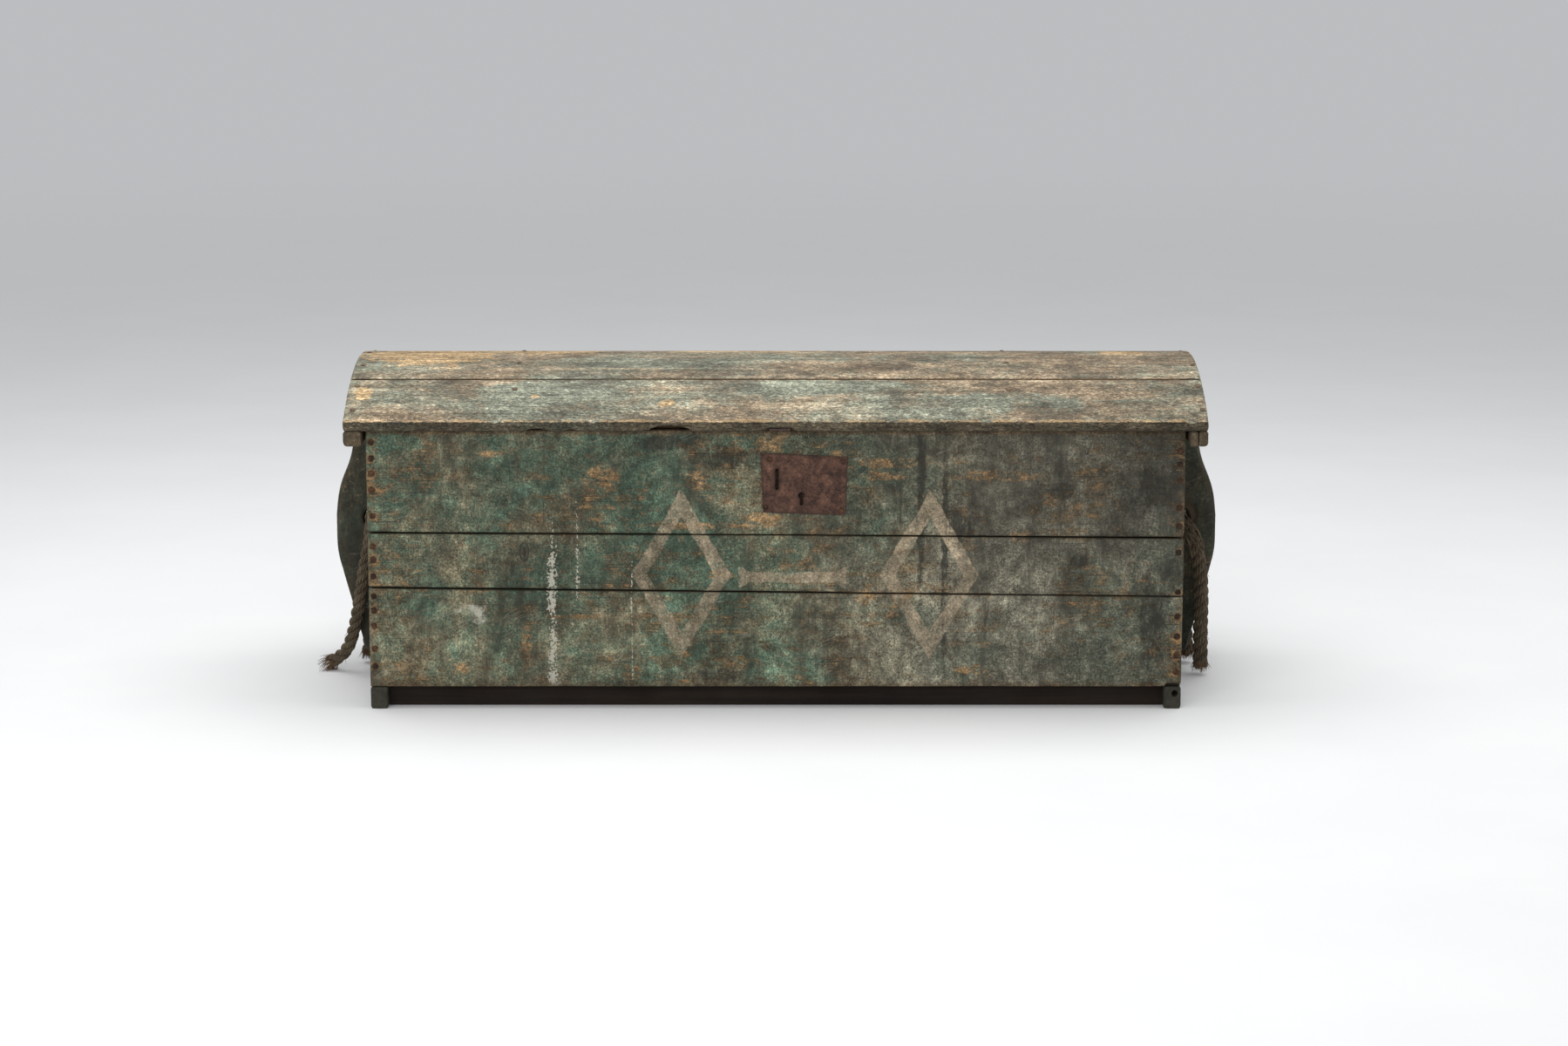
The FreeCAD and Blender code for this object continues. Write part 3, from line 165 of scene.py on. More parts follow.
class Wiring:
    """Adds shader nodes to a tree and joins them, one call each."""

    def __init__(self, tree):
        self.tree = tree

    def node(self, kind, inputs=(), **settings):
        made = self.tree.nodes.new(kind)
        for name, value in settings.items():
            setattr(made, name, value)
        for key, value in dict(inputs).items():
            if isinstance(value, bpy.types.NodeSocket):
                self.tree.links.new(value, made.inputs[key])
            else:
                made.inputs[key].default_value = value
        return made

    def math(self, operation, a, b=0.0, clamp=False):
        return self.node("ShaderNodeMath", {0: a, 1: b}, operation=operation, use_clamp=clamp).outputs[0]

    def times(self, socket, factor):
        return self.math("MULTIPLY", socket, factor)

    def minus(self, a, b):
        return self.math("SUBTRACT", a, b)

    def apart(self, a, b):
        """How far a value is from another, either way."""
        return self.math("ABSOLUTE", self.minus(a, b))

    def total(self, *pairs):
        """The sum of sockets, each times a number."""
        result = None
        for socket, weight in pairs:
            part = self.times(socket, weight)
            result = part if result is None else self.math("ADD", result, part)
        return result

    def both(self, *masks):
        result = masks[0]
        for mask in masks[1:]:
            result = self.times(result, mask)
        return result

    def either(self, *masks):
        result = masks[0]
        for mask in masks[1:]:
            result = self.math("MAXIMUM", result, mask)
        return result

    def blend(self, amount, a, b, way="MIX"):
        inputs = {0: amount, 6: a, 7: b}
        made = self.node("ShaderNodeMix", inputs, data_type="RGBA", blend_type=way, clamp_factor=True)
        return made.outputs[2]

    def tint(self, tone, by):
        return self.blend(1.0, tone, by, "MULTIPLY")

    def ramp(self, value, low, high, out_low=0.0, out_high=1.0):
        inputs = {"Value": value, "From Min": low, "From Max": high, "To Min": out_low, "To Max": out_high}
        return self.node("ShaderNodeMapRange", inputs, interpolation_type="SMOOTHSTEP").outputs[0]

    def noise(self, vector, scale, detail=3.0, roughness=0.55, distortion=0.0):
        inputs = {"Vector": vector, "Scale": scale, "Detail": detail}
        inputs.update({"Roughness": roughness, "Distortion": distortion})
        return self.node("ShaderNodeTexNoise", inputs).outputs[0]

    def vector(self, operation, *vectors):
        """One step on vectors, which gives a number for LENGTH and DISTANCE."""
        made = self.node("ShaderNodeVectorMath", dict(enumerate(vectors)), operation=operation)
        return made.outputs["Value" if operation in ("LENGTH", "DISTANCE") else "Vector"]

    def stretch(self, vector, by):
        return self.vector("MULTIPLY", vector, by)

    def shift(self, vector, by):
        return self.vector("ADD", vector, by)

    def streaks(self, vector, by, *more):
        """Noise with its own scale on each axis, so that it runs in streaks."""
        return self.noise(self.stretch(vector, by), 1.0, *more)

    def split(self, vector):
        return self.node("ShaderNodeSeparateXYZ", {0: vector}).outputs

    def join(self, x, y, z):
        return self.node("ShaderNodeCombineXYZ", {0: x, 1: y, 2: z}).outputs[0]

    def place(self):
        return self.node("ShaderNodeTexCoord").outputs["Object"]

    def mark(self, name):
        return self.node("ShaderNodeAttribute", attribute_name=name).outputs["Fac"]

    def use(self, group, inputs=()):
        return self.node("ShaderNodeGroup", inputs, node_tree=group).outputs


KINDS = {"value": "NodeSocketFloat", "vector": "NodeSocketVector", "colour": "NodeSocketColor"}
SURFACE = {"Colour": "colour", "Height": "value", "Roughness": "value"}


def shader_group(name, takes, gives, build):
    """A shader node group, made once. takes and gives name its sockets and their kinds."""
    found = bpy.data.node_groups.get(name)
    if found:
        return found
    tree = bpy.data.node_groups.new(name, "ShaderNodeTree")
    for way, sockets in (("INPUT", takes), ("OUTPUT", gives)):
        for label, kind in sockets.items():
            tree.interface.new_socket(label, in_out=way, socket_type=KINDS[kind])
    wiring = Wiring(tree)
    entry = wiring.node("NodeGroupInput")
    way_out = wiring.node("NodeGroupOutput")
    for label, socket in build(wiring, entry.outputs).items():
        tree.links.new(socket, way_out.inputs[label])
    return tree


def board_grain():
    """Grain that runs along the first axis of its vector."""

    def build(w, given):
        streaks = w.streaks(given["Vector"], (2.6, 95.0, 95.0), 5.0, 0.62, 0.35)
        lines = w.streaks(given["Vector"], (11.0, 640.0, 640.0), 2.0, 0.6)
        return {"Streaks": streaks, "Lines": lines}

    return shader_group("Board grain", {"Vector": "vector"}, {"Streaks": "value", "Lines": "value"}, build)


def ragged_spot():
    """A soft spot with a ragged edge, at a centre and of a half size on each axis."""

    def build(w, given):
        from_centre = w.vector("SUBTRACT", given["Vector"], given["Centre"])
        away = w.vector("LENGTH", w.vector("DIVIDE", from_centre, given["Size"]))
        coarse = w.noise(given["Vector"], 42.0, 4.0, 0.65)
        fine = w.noise(given["Vector"], 260.0, 2.0)
        edge = w.total((away, 1.0), (coarse, 1.5), (fine, 0.55))
        return {"Mask": w.ramp(edge, 2.0, 1.5)}

    takes = {"Vector": "vector", "Centre": "vector", "Size": "vector"}
    return shader_group("Ragged spot", takes, {"Mask": "value"}, build)


def paint_drip():
    """A run of splashed paint that goes down a board, in dabs and dots that thin out to the sides."""

    def build(w, given):
        x, _, z = w.split(given["Vector"])
        wander = w.noise(w.join(0.0, 0.0, w.times(z, 9.0)), 1.0, 3.0)
        middle = w.total((wander, 0.010), (given["Place"], 1.0))
        beside = w.apart(w.math("ADD", x, 0.005), middle)
        near = w.math("DIVIDE", beside, given["Width"])
        dots = w.noise(given["Vector"], 300.0, 2.0, 0.7)
        dabs = w.noise(w.stretch(given["Vector"], (1.0, 1.0, 0.35)), 130.0, 4.0, 0.75)
        gaps = w.noise(w.join(0.0, 0.0, z), 11.0, 4.0, 0.75)
        level = w.total((near, -0.26), (dots, 1.5), (dabs, 0.8), (gaps, 0.9), (given["Thick"], 1.0))
        above = w.ramp(w.minus(z, given["Low"]), 0.0, 0.02, -0.5, 0.0)
        below = w.ramp(w.minus(given["High"], z), 0.0, 0.16, -0.5, 0.0)
        return {"Mask": w.ramp(w.total((level, 1.0), (above, 1.0), (below, 1.0)), 1.48, 1.56)}

    takes = {"Vector": "vector", **dict.fromkeys(("Place", "Low", "High", "Width", "Thick"), "value")}
    return shader_group("Paint drip", takes, {"Mask": "value"}, build)


def scratches():
    """Thin long scratches, a little off level, in patches."""

    def build(w, given):
        x, y, z = w.split(given["Vector"])
        lean = w.join(w.total((x, 0.93), (z, 0.36)), y, w.total((x, -0.36), (z, 0.93)))
        field = w.streaks(lean, (5.0, 90.0, 55.0), 2.0, 0.5)
        line = w.ramp(w.apart(field, 0.5), 0.011, 0.003)
        patches = w.noise(w.shift(given["Vector"], (7.7, 2.2, 9.1)), 9.0, 4.0, 0.7)
        return {"Mask": w.both(line, w.ramp(patches, 0.5, 0.62))}

    return shader_group("Scratches", {"Vector": "vector"}, {"Mask": "value"}, build)


def specks():
    """Fine ragged specks, a few pale and more of them dark."""

    def build(w, given):
        at = given["Vector"]
        ragged = w.noise(at, 900.0, 2.0)
        small = w.node("ShaderNodeTexVoronoi", {"Vector": at, "Scale": 400.0}).outputs
        pick = w.split(small["Color"])
        size = w.total((small["Distance"], 1.0), (ragged, 0.5), (pick[2], 0.25))
        dark = w.both(w.ramp(size, 0.78, 0.58), w.ramp(pick[0], 0.55, 0.57, 0.0, 0.8))
        pale = w.both(w.ramp(size, 0.66, 0.5), w.ramp(pick[1], 0.86, 0.88))
        return {"Dark": dark, "Pale": pale}

    return shader_group("Specks", {"Vector": "vector"}, {"Dark": "value", "Pale": "value"}, build)


def mottle():
    """Clouds of every size: how light each spot is, its hue from 0 to 1, and grit."""

    def build(w, given):
        at = given["Vector"]
        clouds = w.noise(at, 15.0, 8.0, 0.76, 0.4)
        middling = w.noise(w.shift(at, (9.3, 6.4, 2.8)), 62.0, 4.0, 0.7)
        grit = w.noise(w.shift(at, (1.3, 0.4, 2.2)), 340.0, 2.5, 0.8)
        drift = w.noise(w.shift(at, (5.1, 3.3, 1.2)), 4.0, 3.0, 0.5)
        level = w.total((clouds, 1.0), (middling, 0.5), (grit, 0.85), (drift, 0.25))
        light = w.math("POWER", given["Contrast"], w.minus(level, 1.305))
        hues = w.noise(w.shift(at, (2.7, 8.1, 4.4)), 8.0, 8.0, 0.8, 0.4)
        hue_at = w.total((hues, 1.0), (drift, 0.35), (grit, 0.2), (given["Lean"], 0.2))
        return {"Light": light, "Hue": w.ramp(hue_at, 0.69, 0.91), "Grit": grit}

    takes = {"Vector": "vector", "Contrast": "value", "Lean": "value"}
    return shader_group("Mottle", takes, {"Light": "value", "Hue": "value", "Grit": "value"}, build)


def worn_paint():
    """Old paint over a board: mottled in two hues, specked, chipped in clusters, run with dirt, and gone
    from corners and round nails."""

    def build(w, given):
        at = given["Vector"]
        grain = w.use(board_grain(), {"Vector": given["Grain"]})
        spread = w.use(mottle(), {"Vector": at, "Contrast": given["Contrast"], "Lean": given["Lean"]})
        hue = w.blend(spread["Hue"], given["Paint"], given["Thin paint"])
        tone = w.tint(hue, spread["Light"])

        smears = w.streaks(at, (24.0, 24.0, 7.0), 8.0, 0.76, 0.4)
        dirt_at = w.total((smears, 0.8), (spread["Grit"], 0.25), (given["Dirt"], 0.2))
        tone = w.blend(w.ramp(dirt_at, 0.57, 0.72, 0.0, 0.72), tone, given["Grime"])
        brushed = w.streaks(at, (430.0, 430.0, 24.0), 3.0, 0.6)
        tone = w.blend(w.ramp(brushed, 0.44, 0.3, 0.0, 0.55), tone, given["Grime"])

        patches = w.noise(w.shift(at, (3.1, 1.7, 5.3)), 8.0, 5.0, 0.65)
        shaggy = w.noise(w.stretch(at, (0.55, 1.0, 1.0)), 70.0, 7.0, 0.8, 0.4)
        nailed = given["Nail"]
        thin_at = w.total(
            (shaggy, 0.7), (patches, 0.45), (grain["Lines"], 0.16), (grain["Streaks"], 0.2),
            (given["Edge"], 0.03), (nailed, 0.1), (given["Wear"], 0.3),
        )
        thin = w.ramp(thin_at, 0.86, 0.93)
        rusty = w.ramp(w.total((nailed, 0.7), (shaggy, 0.5)), 0.5, 0.8)
        wood = w.blend(rusty, given["Old wood"], given["Rust"])
        tone = w.blend(w.times(thin, 0.75), tone, w.tint(wood, w.times(spread["Light"], 1.1)))
        chip = w.ramp(thin_at, 0.955, 0.98)
        tone = w.blend(w.times(chip, 0.75), tone, given["Bare wood"])

        scratched = w.use(scratches(), {"Vector": at})["Mask"]
        tone = w.blend(w.times(scratched, 0.35), tone, given["Dust"])
        dots = w.node("ShaderNodeTexVoronoi", {"Vector": at, "Scale": 165.0}).outputs
        pick = w.split(dots["Color"])
        round_dots = w.ramp(w.total((dots["Distance"], 1.0), (shaggy, 0.25)), 0.33, 0.2)
        pale = w.both(round_dots, w.ramp(pick[0], 0.84, 0.86), w.ramp(patches, 0.48, 0.58))
        dark = w.both(round_dots, w.ramp(pick[1], 0.7, 0.72))
        tone = w.blend(w.times(pale, 0.7), tone, given["Dust"])
        small = w.use(specks(), {"Vector": at})
        dusty = w.both(small["Pale"], w.ramp(patches, 0.44, 0.54, 0.0, 0.5))
        tone = w.blend(dusty, tone, given["Dust"])
        hole = w.ramp(w.total((nailed, 1.0), (shaggy, 0.7)), 1.04, 1.12)
        pits = w.either(w.times(dark, 0.8), small["Dark"], hole)
        tone = w.blend(pits, tone, w.blend(0.3, given["Grime"], given["Rust"]))
        lines = w.both(w.ramp(grain["Lines"], 0.42, 0.3), w.ramp(patches, 0.4, 0.6, 0.1, 0.7))
        tone = w.blend(lines, tone, given["Grime"])

        gone = w.either(chip, w.times(thin, 0.5))
        height = w.total(
            (gone, -0.4), (grain["Lines"], 0.45), (grain["Streaks"], 0.5), (spread["Grit"], 0.8),
            (dark, -0.7), (shaggy, 0.6),
        )
        rough = w.ramp(w.total((thin, 0.4), (spread["Grit"], 0.8)), 0.2, 0.8, 0.62, 0.88)
        return {"Colour": tone, "Gone": gone, "Height": height, "Roughness": rough, "Light": spread["Light"]}

    colours = ("Paint", "Thin paint", "Grime", "Old wood", "Bare wood", "Rust", "Dust")
    takes = {
        **dict.fromkeys(("Vector", "Grain"), "vector"),
        **dict.fromkeys(("Edge", "Nail", "Wear", "Dirt", "Contrast", "Lean"), "value"),
        **dict.fromkeys(colours, "colour"),
    }
    gives = {"Colour": "colour", **dict.fromkeys(("Gone", "Height", "Roughness", "Light"), "value")}
    return shader_group("Worn paint", takes, gives, build)


def old_timber():
    """Bare old wood: grain, with dirt in its pores and in clouds."""

    def build(w, given):
        grain = w.use(board_grain(), {"Vector": given["Grain"]})
        cloud = w.noise(given["Vector"], 13.0, 5.0, 0.6)
        base = w.blend(w.ramp(grain["Streaks"], 0.3, 0.72), given["Light"], given["Dark"])
        lined = w.blend(w.ramp(grain["Lines"], 0.5, 0.75, 0.0, 0.6), base, given["Dark"])
        aged = w.blend(w.ramp(cloud, 0.5, 0.8, 0.0, 0.5), lined, given["Dark"])
        height = w.total((grain["Streaks"], 0.6), (grain["Lines"], 0.5))
        rough = w.ramp(cloud, 0.2, 0.8, 0.66, 0.85)
        return {"Colour": aged, "Height": height, "Roughness": rough}

    takes = {"Vector": "vector", "Grain": "vector", "Light": "colour", "Dark": "colour"}
    return shader_group("Old timber", takes, SURFACE, build)


def rusted():
    """Iron gone to even rust, pitted, darker at its rim and a little lighter where it is rubbed."""

    def build(w, given):
        at = given["Vector"]
        cloud = w.noise(at, 60.0, 6.0, 0.7)
        grit = w.noise(at, 700.0, 3.0, 0.7)
        flakes = w.noise(w.shift(at, (1.0, 2.0, 3.0)), 260.0, 4.0, 0.8)
        tone = w.blend(w.ramp(cloud, 0.35, 0.72), given["Base"], given["Bloom"])
        pits = w.ramp(w.total((cloud, 0.5), (grit, 0.5)), 0.5, 0.36, 0.0, 0.7)
        tone = w.blend(pits, tone, given["Pit"])
        patchy = w.total((cloud, 0.6), (flakes, 1.0), (grit, 0.7))
        tone = w.tint(tone, w.math("POWER", 14.0, w.minus(patchy, 1.16)))
        rim = w.ramp(w.total((given["Edge"], 0.6), (cloud, 0.8)), 0.5, 0.9, 0.0, 0.6)
        tone = w.blend(rim, tone, given["Pit"])
        rubbed = w.ramp(w.total((given["Edge"], 0.7), (grit, 0.5)), 0.8, 1.15, 0.0, 0.7)
        tone = w.blend(rubbed, tone, given["Rub"])
        height = w.total((grit, 0.7), (cloud, 0.6))
        return {"Colour": tone, "Height": height, "Roughness": w.ramp(grit, 0.3, 0.7, 0.55, 0.85)}

    takes = {"Vector": "vector", "Edge": "value", **dict.fromkeys(("Base", "Bloom", "Pit", "Rub"), "colour")}
    return shader_group("Rusted iron", takes, SURFACE, build)


# Materials


def new_material(name):
    material = bpy.data.materials.new(name)
    material.use_nodes = True
    material.node_tree.nodes.clear()
    return material, Wiring(material.node_tree)


def shade(w, tone, rough, height=None, depth=0.001, strength=0.6, metallic=0.0, gloss=0.22):
    """The material's shader. height, where given, goes through a Bump node of a real depth."""
    inputs = {"Base Color": tone, "Roughness": rough, "Metallic": metallic, "Specular IOR Level": gloss}
    if height is not None:
        bump = w.node("ShaderNodeBump", {"Height": height, "Distance": depth, "Strength": strength})
        inputs["Normal"] = bump.outputs[0]
    shader = w.node("ShaderNodeBsdfPrincipled", inputs)
    w.node("ShaderNodeOutputMaterial", {"Surface": shader.outputs[0]})


def grain_along(w, vector, axis):
    """The vector turned so that the grain's axis comes first, with each board's own place in it."""
    x, y, z = w.split(vector)
    board = w.mark("board")
    turned = {"x": (x, y, z), "y": (y, x, z), "z": (z, x, y)}[axis]
    return w.join(w.math("ADD", turned[0], board), w.math("ADD", turned[1], board), turned[2])


def painted(w, c, axis, paint, thin, wear=0.3, dirt=0.3, contrast=90.0, lean=0.0):
    """Worn paint of two hues over bare and old wood."""
    at = w.place()
    inputs = {
        "Vector": at, "Grain": grain_along(w, at, axis), "Edge": w.mark("edge"), "Nail": w.mark("nail"),
        "Wear": wear, "Dirt": dirt, "Contrast": contrast, "Lean": lean, "Paint": paint, "Thin paint": thin,
        "Grime": c.grime_and_gap_shade, "Old wood": c.old_wood, "Bare wood": c.bare_wood, "Rust": c.stain, "Dust": c.dust,
    }
    return at, w.use(worn_paint(), inputs)


def timber(w, at, axis, light, dark):
    inputs = {"Vector": at, "Grain": grain_along(w, at, axis), "Light": light, "Dark": dark}
    return w.use(old_timber(), inputs)


def skinned(w, c, at, axis, tone, below_skin):
    """Paint outside, bare pine inside, and dirt in the joints, by the board's mark and the depth of a point
    below its skin."""
    bare = timber(w, at, axis, c.inside, c.old_wood)
    inner = w.ramp(below_skin, JOINT_DIRT, JOINT_DIRT + 0.004)
    hidden = w.blend(inner, w.blend(0.25, c.grime_and_gap_shade, c.old_wood), bare["Colour"])
    return w.blend(w.mark("outside"), hidden, tone)


# Spots of the front, as a centre and half sizes along X and Z in metres
FRONT_BARE = (
    (0.0, 0.398, 0.017, 0.016), (-0.421, 0.386, 0.028, 0.007), (-0.02, 0.402, 0.012, 0.014),
    (-0.256, 0.352, 0.04, 0.026), (-0.215, 0.057, 0.018, 0.016), (-0.12, 0.345, 0.03, 0.018),
    (0.16, 0.352, 0.05, 0.01), (0.33, 0.352, 0.08, 0.01), (0.405, 0.318, 0.014, 0.022),
    (0.17, 0.372, 0.065, 0.01), (-0.1, 0.278, 0.12, 0.006), (-0.02, 0.29, 0.045, 0.01),
    (-0.37, 0.1, 0.01, 0.045), (0.13, 0.17, 0.018, 0.014), (-0.08, 0.205, 0.026, 0.01),
    (0.29, 0.06, 0.03, 0.01), (-0.47, 0.06, 0.02, 0.012), (-0.3, 0.14, 0.06, 0.006),
    (0.36, 0.262, 0.018, 0.016), (-0.05, 0.07, 0.034, 0.012),
)
# Dark spots of dirt. The last two, at the front's top under chips out of the lid's edge, are painted shade
# where the gap shows the dark inside of the chest
FRONT_DIRT_AND_GAP_SHADE = (
    (0.275, 0.275, 0.034, 0.036), (0.215, 0.3, 0.009, 0.18), (0.25, 0.22, 0.007, 0.24),
    (0.545, 0.33, 0.055, 0.05), (0.455, 0.225, 0.045, 0.012), (0.42, 0.33, 0.03, 0.014),
    (0.56, 0.13, 0.03, 0.09), (-0.07, 0.38, 0.06, 0.022), (-0.16, 0.4, 0.05, 0.018),
    (-0.372, 0.239, 0.0035, 0.011), (-0.09, 0.05, 0.05, 0.018), (-0.156, 0.4225, 0.03, 0.007),
    (-0.3, 0.4225, 0.016, 0.004),
)
# A knot as its centre, half sizes and how wide its ring is
KNOT = (-0.372, 0.239, 0.0065, 0.0135, 0.22)
# Runs of splashed paint as a place along X, lowest and highest Z, half width, and how thick; then splashes
DRIPS = (
    (-0.331, 0.024, 0.35, 0.006, 0.07), (-0.294, 0.15, 0.4, 0.0034, -0.05),
    (-0.213, 0.034, 0.3, 0.0016, -0.02), (0.337, 0.385, 0.432, 0.003, 0.05),
    (-0.582, 0.2, 0.262, 0.0036, -0.05), (-0.56, 0.2, 0.262, 0.003, -0.08),
    (-0.316, 0.29, 0.4, 0.009, -0.2), (0.402, 0.29, 0.345, 0.005, -0.14),
)
SPLASHES = (
    (-0.455, 0.152, 0.03, 0.014), (-0.44, 0.14, 0.014, 0.016), (-0.327, 0.04, 0.01, 0.014),
)
SPLASH_WHITE = (0.46, 0.44, 0.36, 1.0)
# The painted device: its stroke, and places and half sizes along X and Z in metres
DEVICE_STROKE = 0.022
LOZENGE_HALF = (0.062, 0.108)
LOZENGE_PLACES = ((-0.140, 0.204), (0.228, 0.204))
BAR_PLACE = (0.024, 0.2)
BAR_HALF = (0.078, 0.0085)


def spots(w, at, places):
    """Ragged spots, each given as its centre and half sizes."""
    given = [{"Vector": at, "Centre": centre, "Size": size} for centre, size in places]
    return w.either(*[w.use(ragged_spot(), inputs)["Mask"] for inputs in given])


def front_spots(w, at, table):
    return spots(w, at, [((x, BOX_LOW.y, z), (wide, 1.0, tall)) for x, z, wide, tall in table])


def painted_device(w, at):
    """Two open lozenges with a bar between them, brushed on by hand."""
    wobble = w.node("ShaderNodeTexNoise", {"Vector": at, "Scale": 26.0, "Detail": 3.0}).outputs["Color"]
    moved = w.shift(at, w.stretch(w.shift(wobble, (-0.5, -0.5, -0.5)), (0.008, 0.0, 0.008)))
    x, _, z = w.split(moved)
    wide, tall = LOZENGE_HALF
    slope = wide * tall / math.hypot(wide, tall)
    brush = DEVICE_STROKE / 2
    parts = []
    for place_x, place_z in LOZENGE_PLACES:
        across = w.times(w.apart(x, place_x), 1 / wide)
        up = w.times(w.apart(z, place_z), 1 / tall)
        ring = w.apart(w.math("ADD", across, up), 1.0)
        parts.append(w.ramp(w.times(ring, slope), brush, brush * 0.8))
    bar_long, bar_thick = BAR_HALF
    across = w.apart(x, BAR_PLACE[0])
    flare = w.ramp(across, bar_long * 0.78, bar_long, 0.0, bar_thick)
    up = w.minus(w.apart(z, BAR_PLACE[1]), flare)
    parts.append(w.both(w.ramp(up, bar_thick, bar_thick * 0.8), w.ramp(across, bar_long * 1.04, bar_long)))
    brushed = w.streaks(at, (300.0, 300.0, 30.0), 3.0, 0.6)
    rubbed = w.total((w.noise(at, 70.0, 6.0, 0.8), 0.8), (w.noise(at, 420.0, 2.0), 0.35), (brushed, 0.3))
    return w.both(w.either(*parts), w.ramp(rubbed, 0.58, 0.8, 0.25, 0.92))


def front_hues(w, c, at):
    """The two hues of the front's paint, how far it leans to the thin one, and where smoke has dulled it."""
    x, _, z = w.split(at)
    drift = w.noise(at, 5.0, 4.0, 0.6)
    across = w.total((x, 1.0), (drift, 0.5))
    low = w.ramp(w.total((z, -1.0), (drift, 0.35)), -0.08, 0.1)
    left = w.ramp(x, 0.2, -0.3)
    left_low = w.both(low, w.ramp(x, 0.1, -0.3))
    middle = w.both(low, w.ramp(w.apart(x, 0.03), 0.3, 0.1))
    right = w.ramp(across, 0.2, 0.6)
    smoked = w.both(w.ramp(across, 0.42, 0.66), w.ramp(w.total((z, 1.0), (drift, 0.2)), 0.30, 0.39))
    paler = w.ramp(w.total((z, -1.0), (drift, 0.2)), -0.16, 0.0, 1.0, 1.3)
    paler = w.total((paler, 1.0), (middle, 0.25))
    paint = w.tint(w.blend(right, c.green, c.smoked_green), paler)
    thin = w.tint(w.blend(right, c.brown, c.smoked_brown), paler)
    lean = w.total(
        (left_low, 0.55), (smoked, 0.5), (left, -0.12), (low, -0.2), (right, 0.15), (middle, 0.35)
    )
    return paint, thin, lean, smoked


def splashed(w, at):
    """White paint that has run down the front and splashed on it."""
    runs = []
    for values in DRIPS:
        inputs = dict(zip(("Place", "Low", "High", "Width", "Thick"), values))
        runs.append(w.use(paint_drip(), {"Vector": at, **inputs})["Mask"])
    dabs = w.ramp(w.noise(w.shift(at, (0.2, 4.0, 0.7)), 90.0, 6.0, 0.8), 0.42, 0.62)
    return w.either(*runs, w.both(front_spots(w, at, SPLASHES), dabs))


def knot_ring(w, at):
    x, z, wide, tall, ring = KNOT
    scaled = w.stretch(w.shift(at, (-x, 0.0, -z)), (1 / wide, 0.0, 1 / tall))
    return w.ramp(w.apart(w.vector("LENGTH", scaled), 1.0), ring, ring * 0.3, 0.0, 0.7)


def front_rims(w, at):
    """Where the front has lost its paint along its ends, its top and its foot."""
    x, _, z = w.split(at)
    shaggy = w.streaks(at, (30.0, 60.0, 60.0), 8.0, 0.82)
    ends = w.ramp(w.total((w.math("ABSOLUTE", x), 1.0), (shaggy, 0.11)), 0.648, 0.664, 0.0, 0.45)
    top = w.ramp(w.total((z, 1.0), (shaggy, 0.018)), 0.420, 0.4265, 0.0, 0.85)
    foot = w.ramp(w.total((z, 1.0), (shaggy, -0.04)), 0.026, 0.015, 0.0, 0.6)
    return w.either(ends, top, foot)


def front_paint(c):
    material, w = new_material("Front paint")
    green, brown, lean, smoked = front_hues(w, c, w.place())
    at, paint = painted(w, c, "x", green, brown, lean=lean)
    light = paint["Light"]
    flaky = w.noise(w.stretch(at, (0.5, 1.0, 1.0)), 170.0, 5.0, 0.8)
    broken = w.ramp(w.total((flaky, 0.7), (w.noise(at, 30.0, 4.0), 0.4)), 0.5, 0.58)
    bare = w.both(front_spots(w, at, FRONT_BARE), broken)
    warm = w.blend(w.ramp(flaky, 0.5, 0.66), w.blend(0.3, c.old_wood, c.bare_wood), c.bare_wood)
    tone = w.blend(w.times(bare, 0.95), paint["Colour"], w.tint(warm, light))

    smoky = w.ramp(w.streaks(at, (60.0, 60.0, 20.0), 8.0, 0.8), 0.4, 0.55, 0.15, 0.85)
    # Dark dirt in spots, and painted shade in the gaps under the lid's chipped edge
    tone = w.blend(w.both(front_spots(w, at, FRONT_DIRT_AND_GAP_SHADE), smoky), tone, c.grime_and_gap_shade)
    tone = w.blend(w.times(smoked, 0.38), tone, c.grime_and_gap_shade)

    device = painted_device(w, at)
    kept = w.math("SUBTRACT", 1.0, w.times(paint["Gone"], 0.6), True)
    tone = w.blend(w.both(device, kept), tone, w.tint(c.cream, w.math("POWER", light, 0.7)))
    white = splashed(w, at)
    tone = w.blend(w.times(white, 0.85), tone, SPLASH_WHITE)
    tone = w.blend(knot_ring(w, at), tone, c.grime_and_gap_shade)
    tone = w.blend(front_rims(w, at), tone, w.tint(c.old_wood, light))
    tone = skinned(w, c, at, "x", tone, w.minus(w.split(at)[1], BOX_LOW.y))
    height = w.total((paint["Height"], 1.0), (device, 0.3), (white, 0.4))
    shade(w, tone, paint["Roughness"], height, 0.0013)
    return material


def box_paint(c, name, axis):
    material, w = new_material(name)
    at, paint = painted(w, c, axis, c.green, c.brown, dirt=0.45)
    x, y, _ = w.split(at)
    skin_at, place = (BOX_HIGH.y, y) if axis == "x" else (BOX_HIGH.x, w.math("ABSOLUTE", x))
    tone = skinned(w, c, at, axis, paint["Colour"], w.minus(skin_at, place))
    shade(w, tone, paint["Roughness"], paint["Height"])
    return material


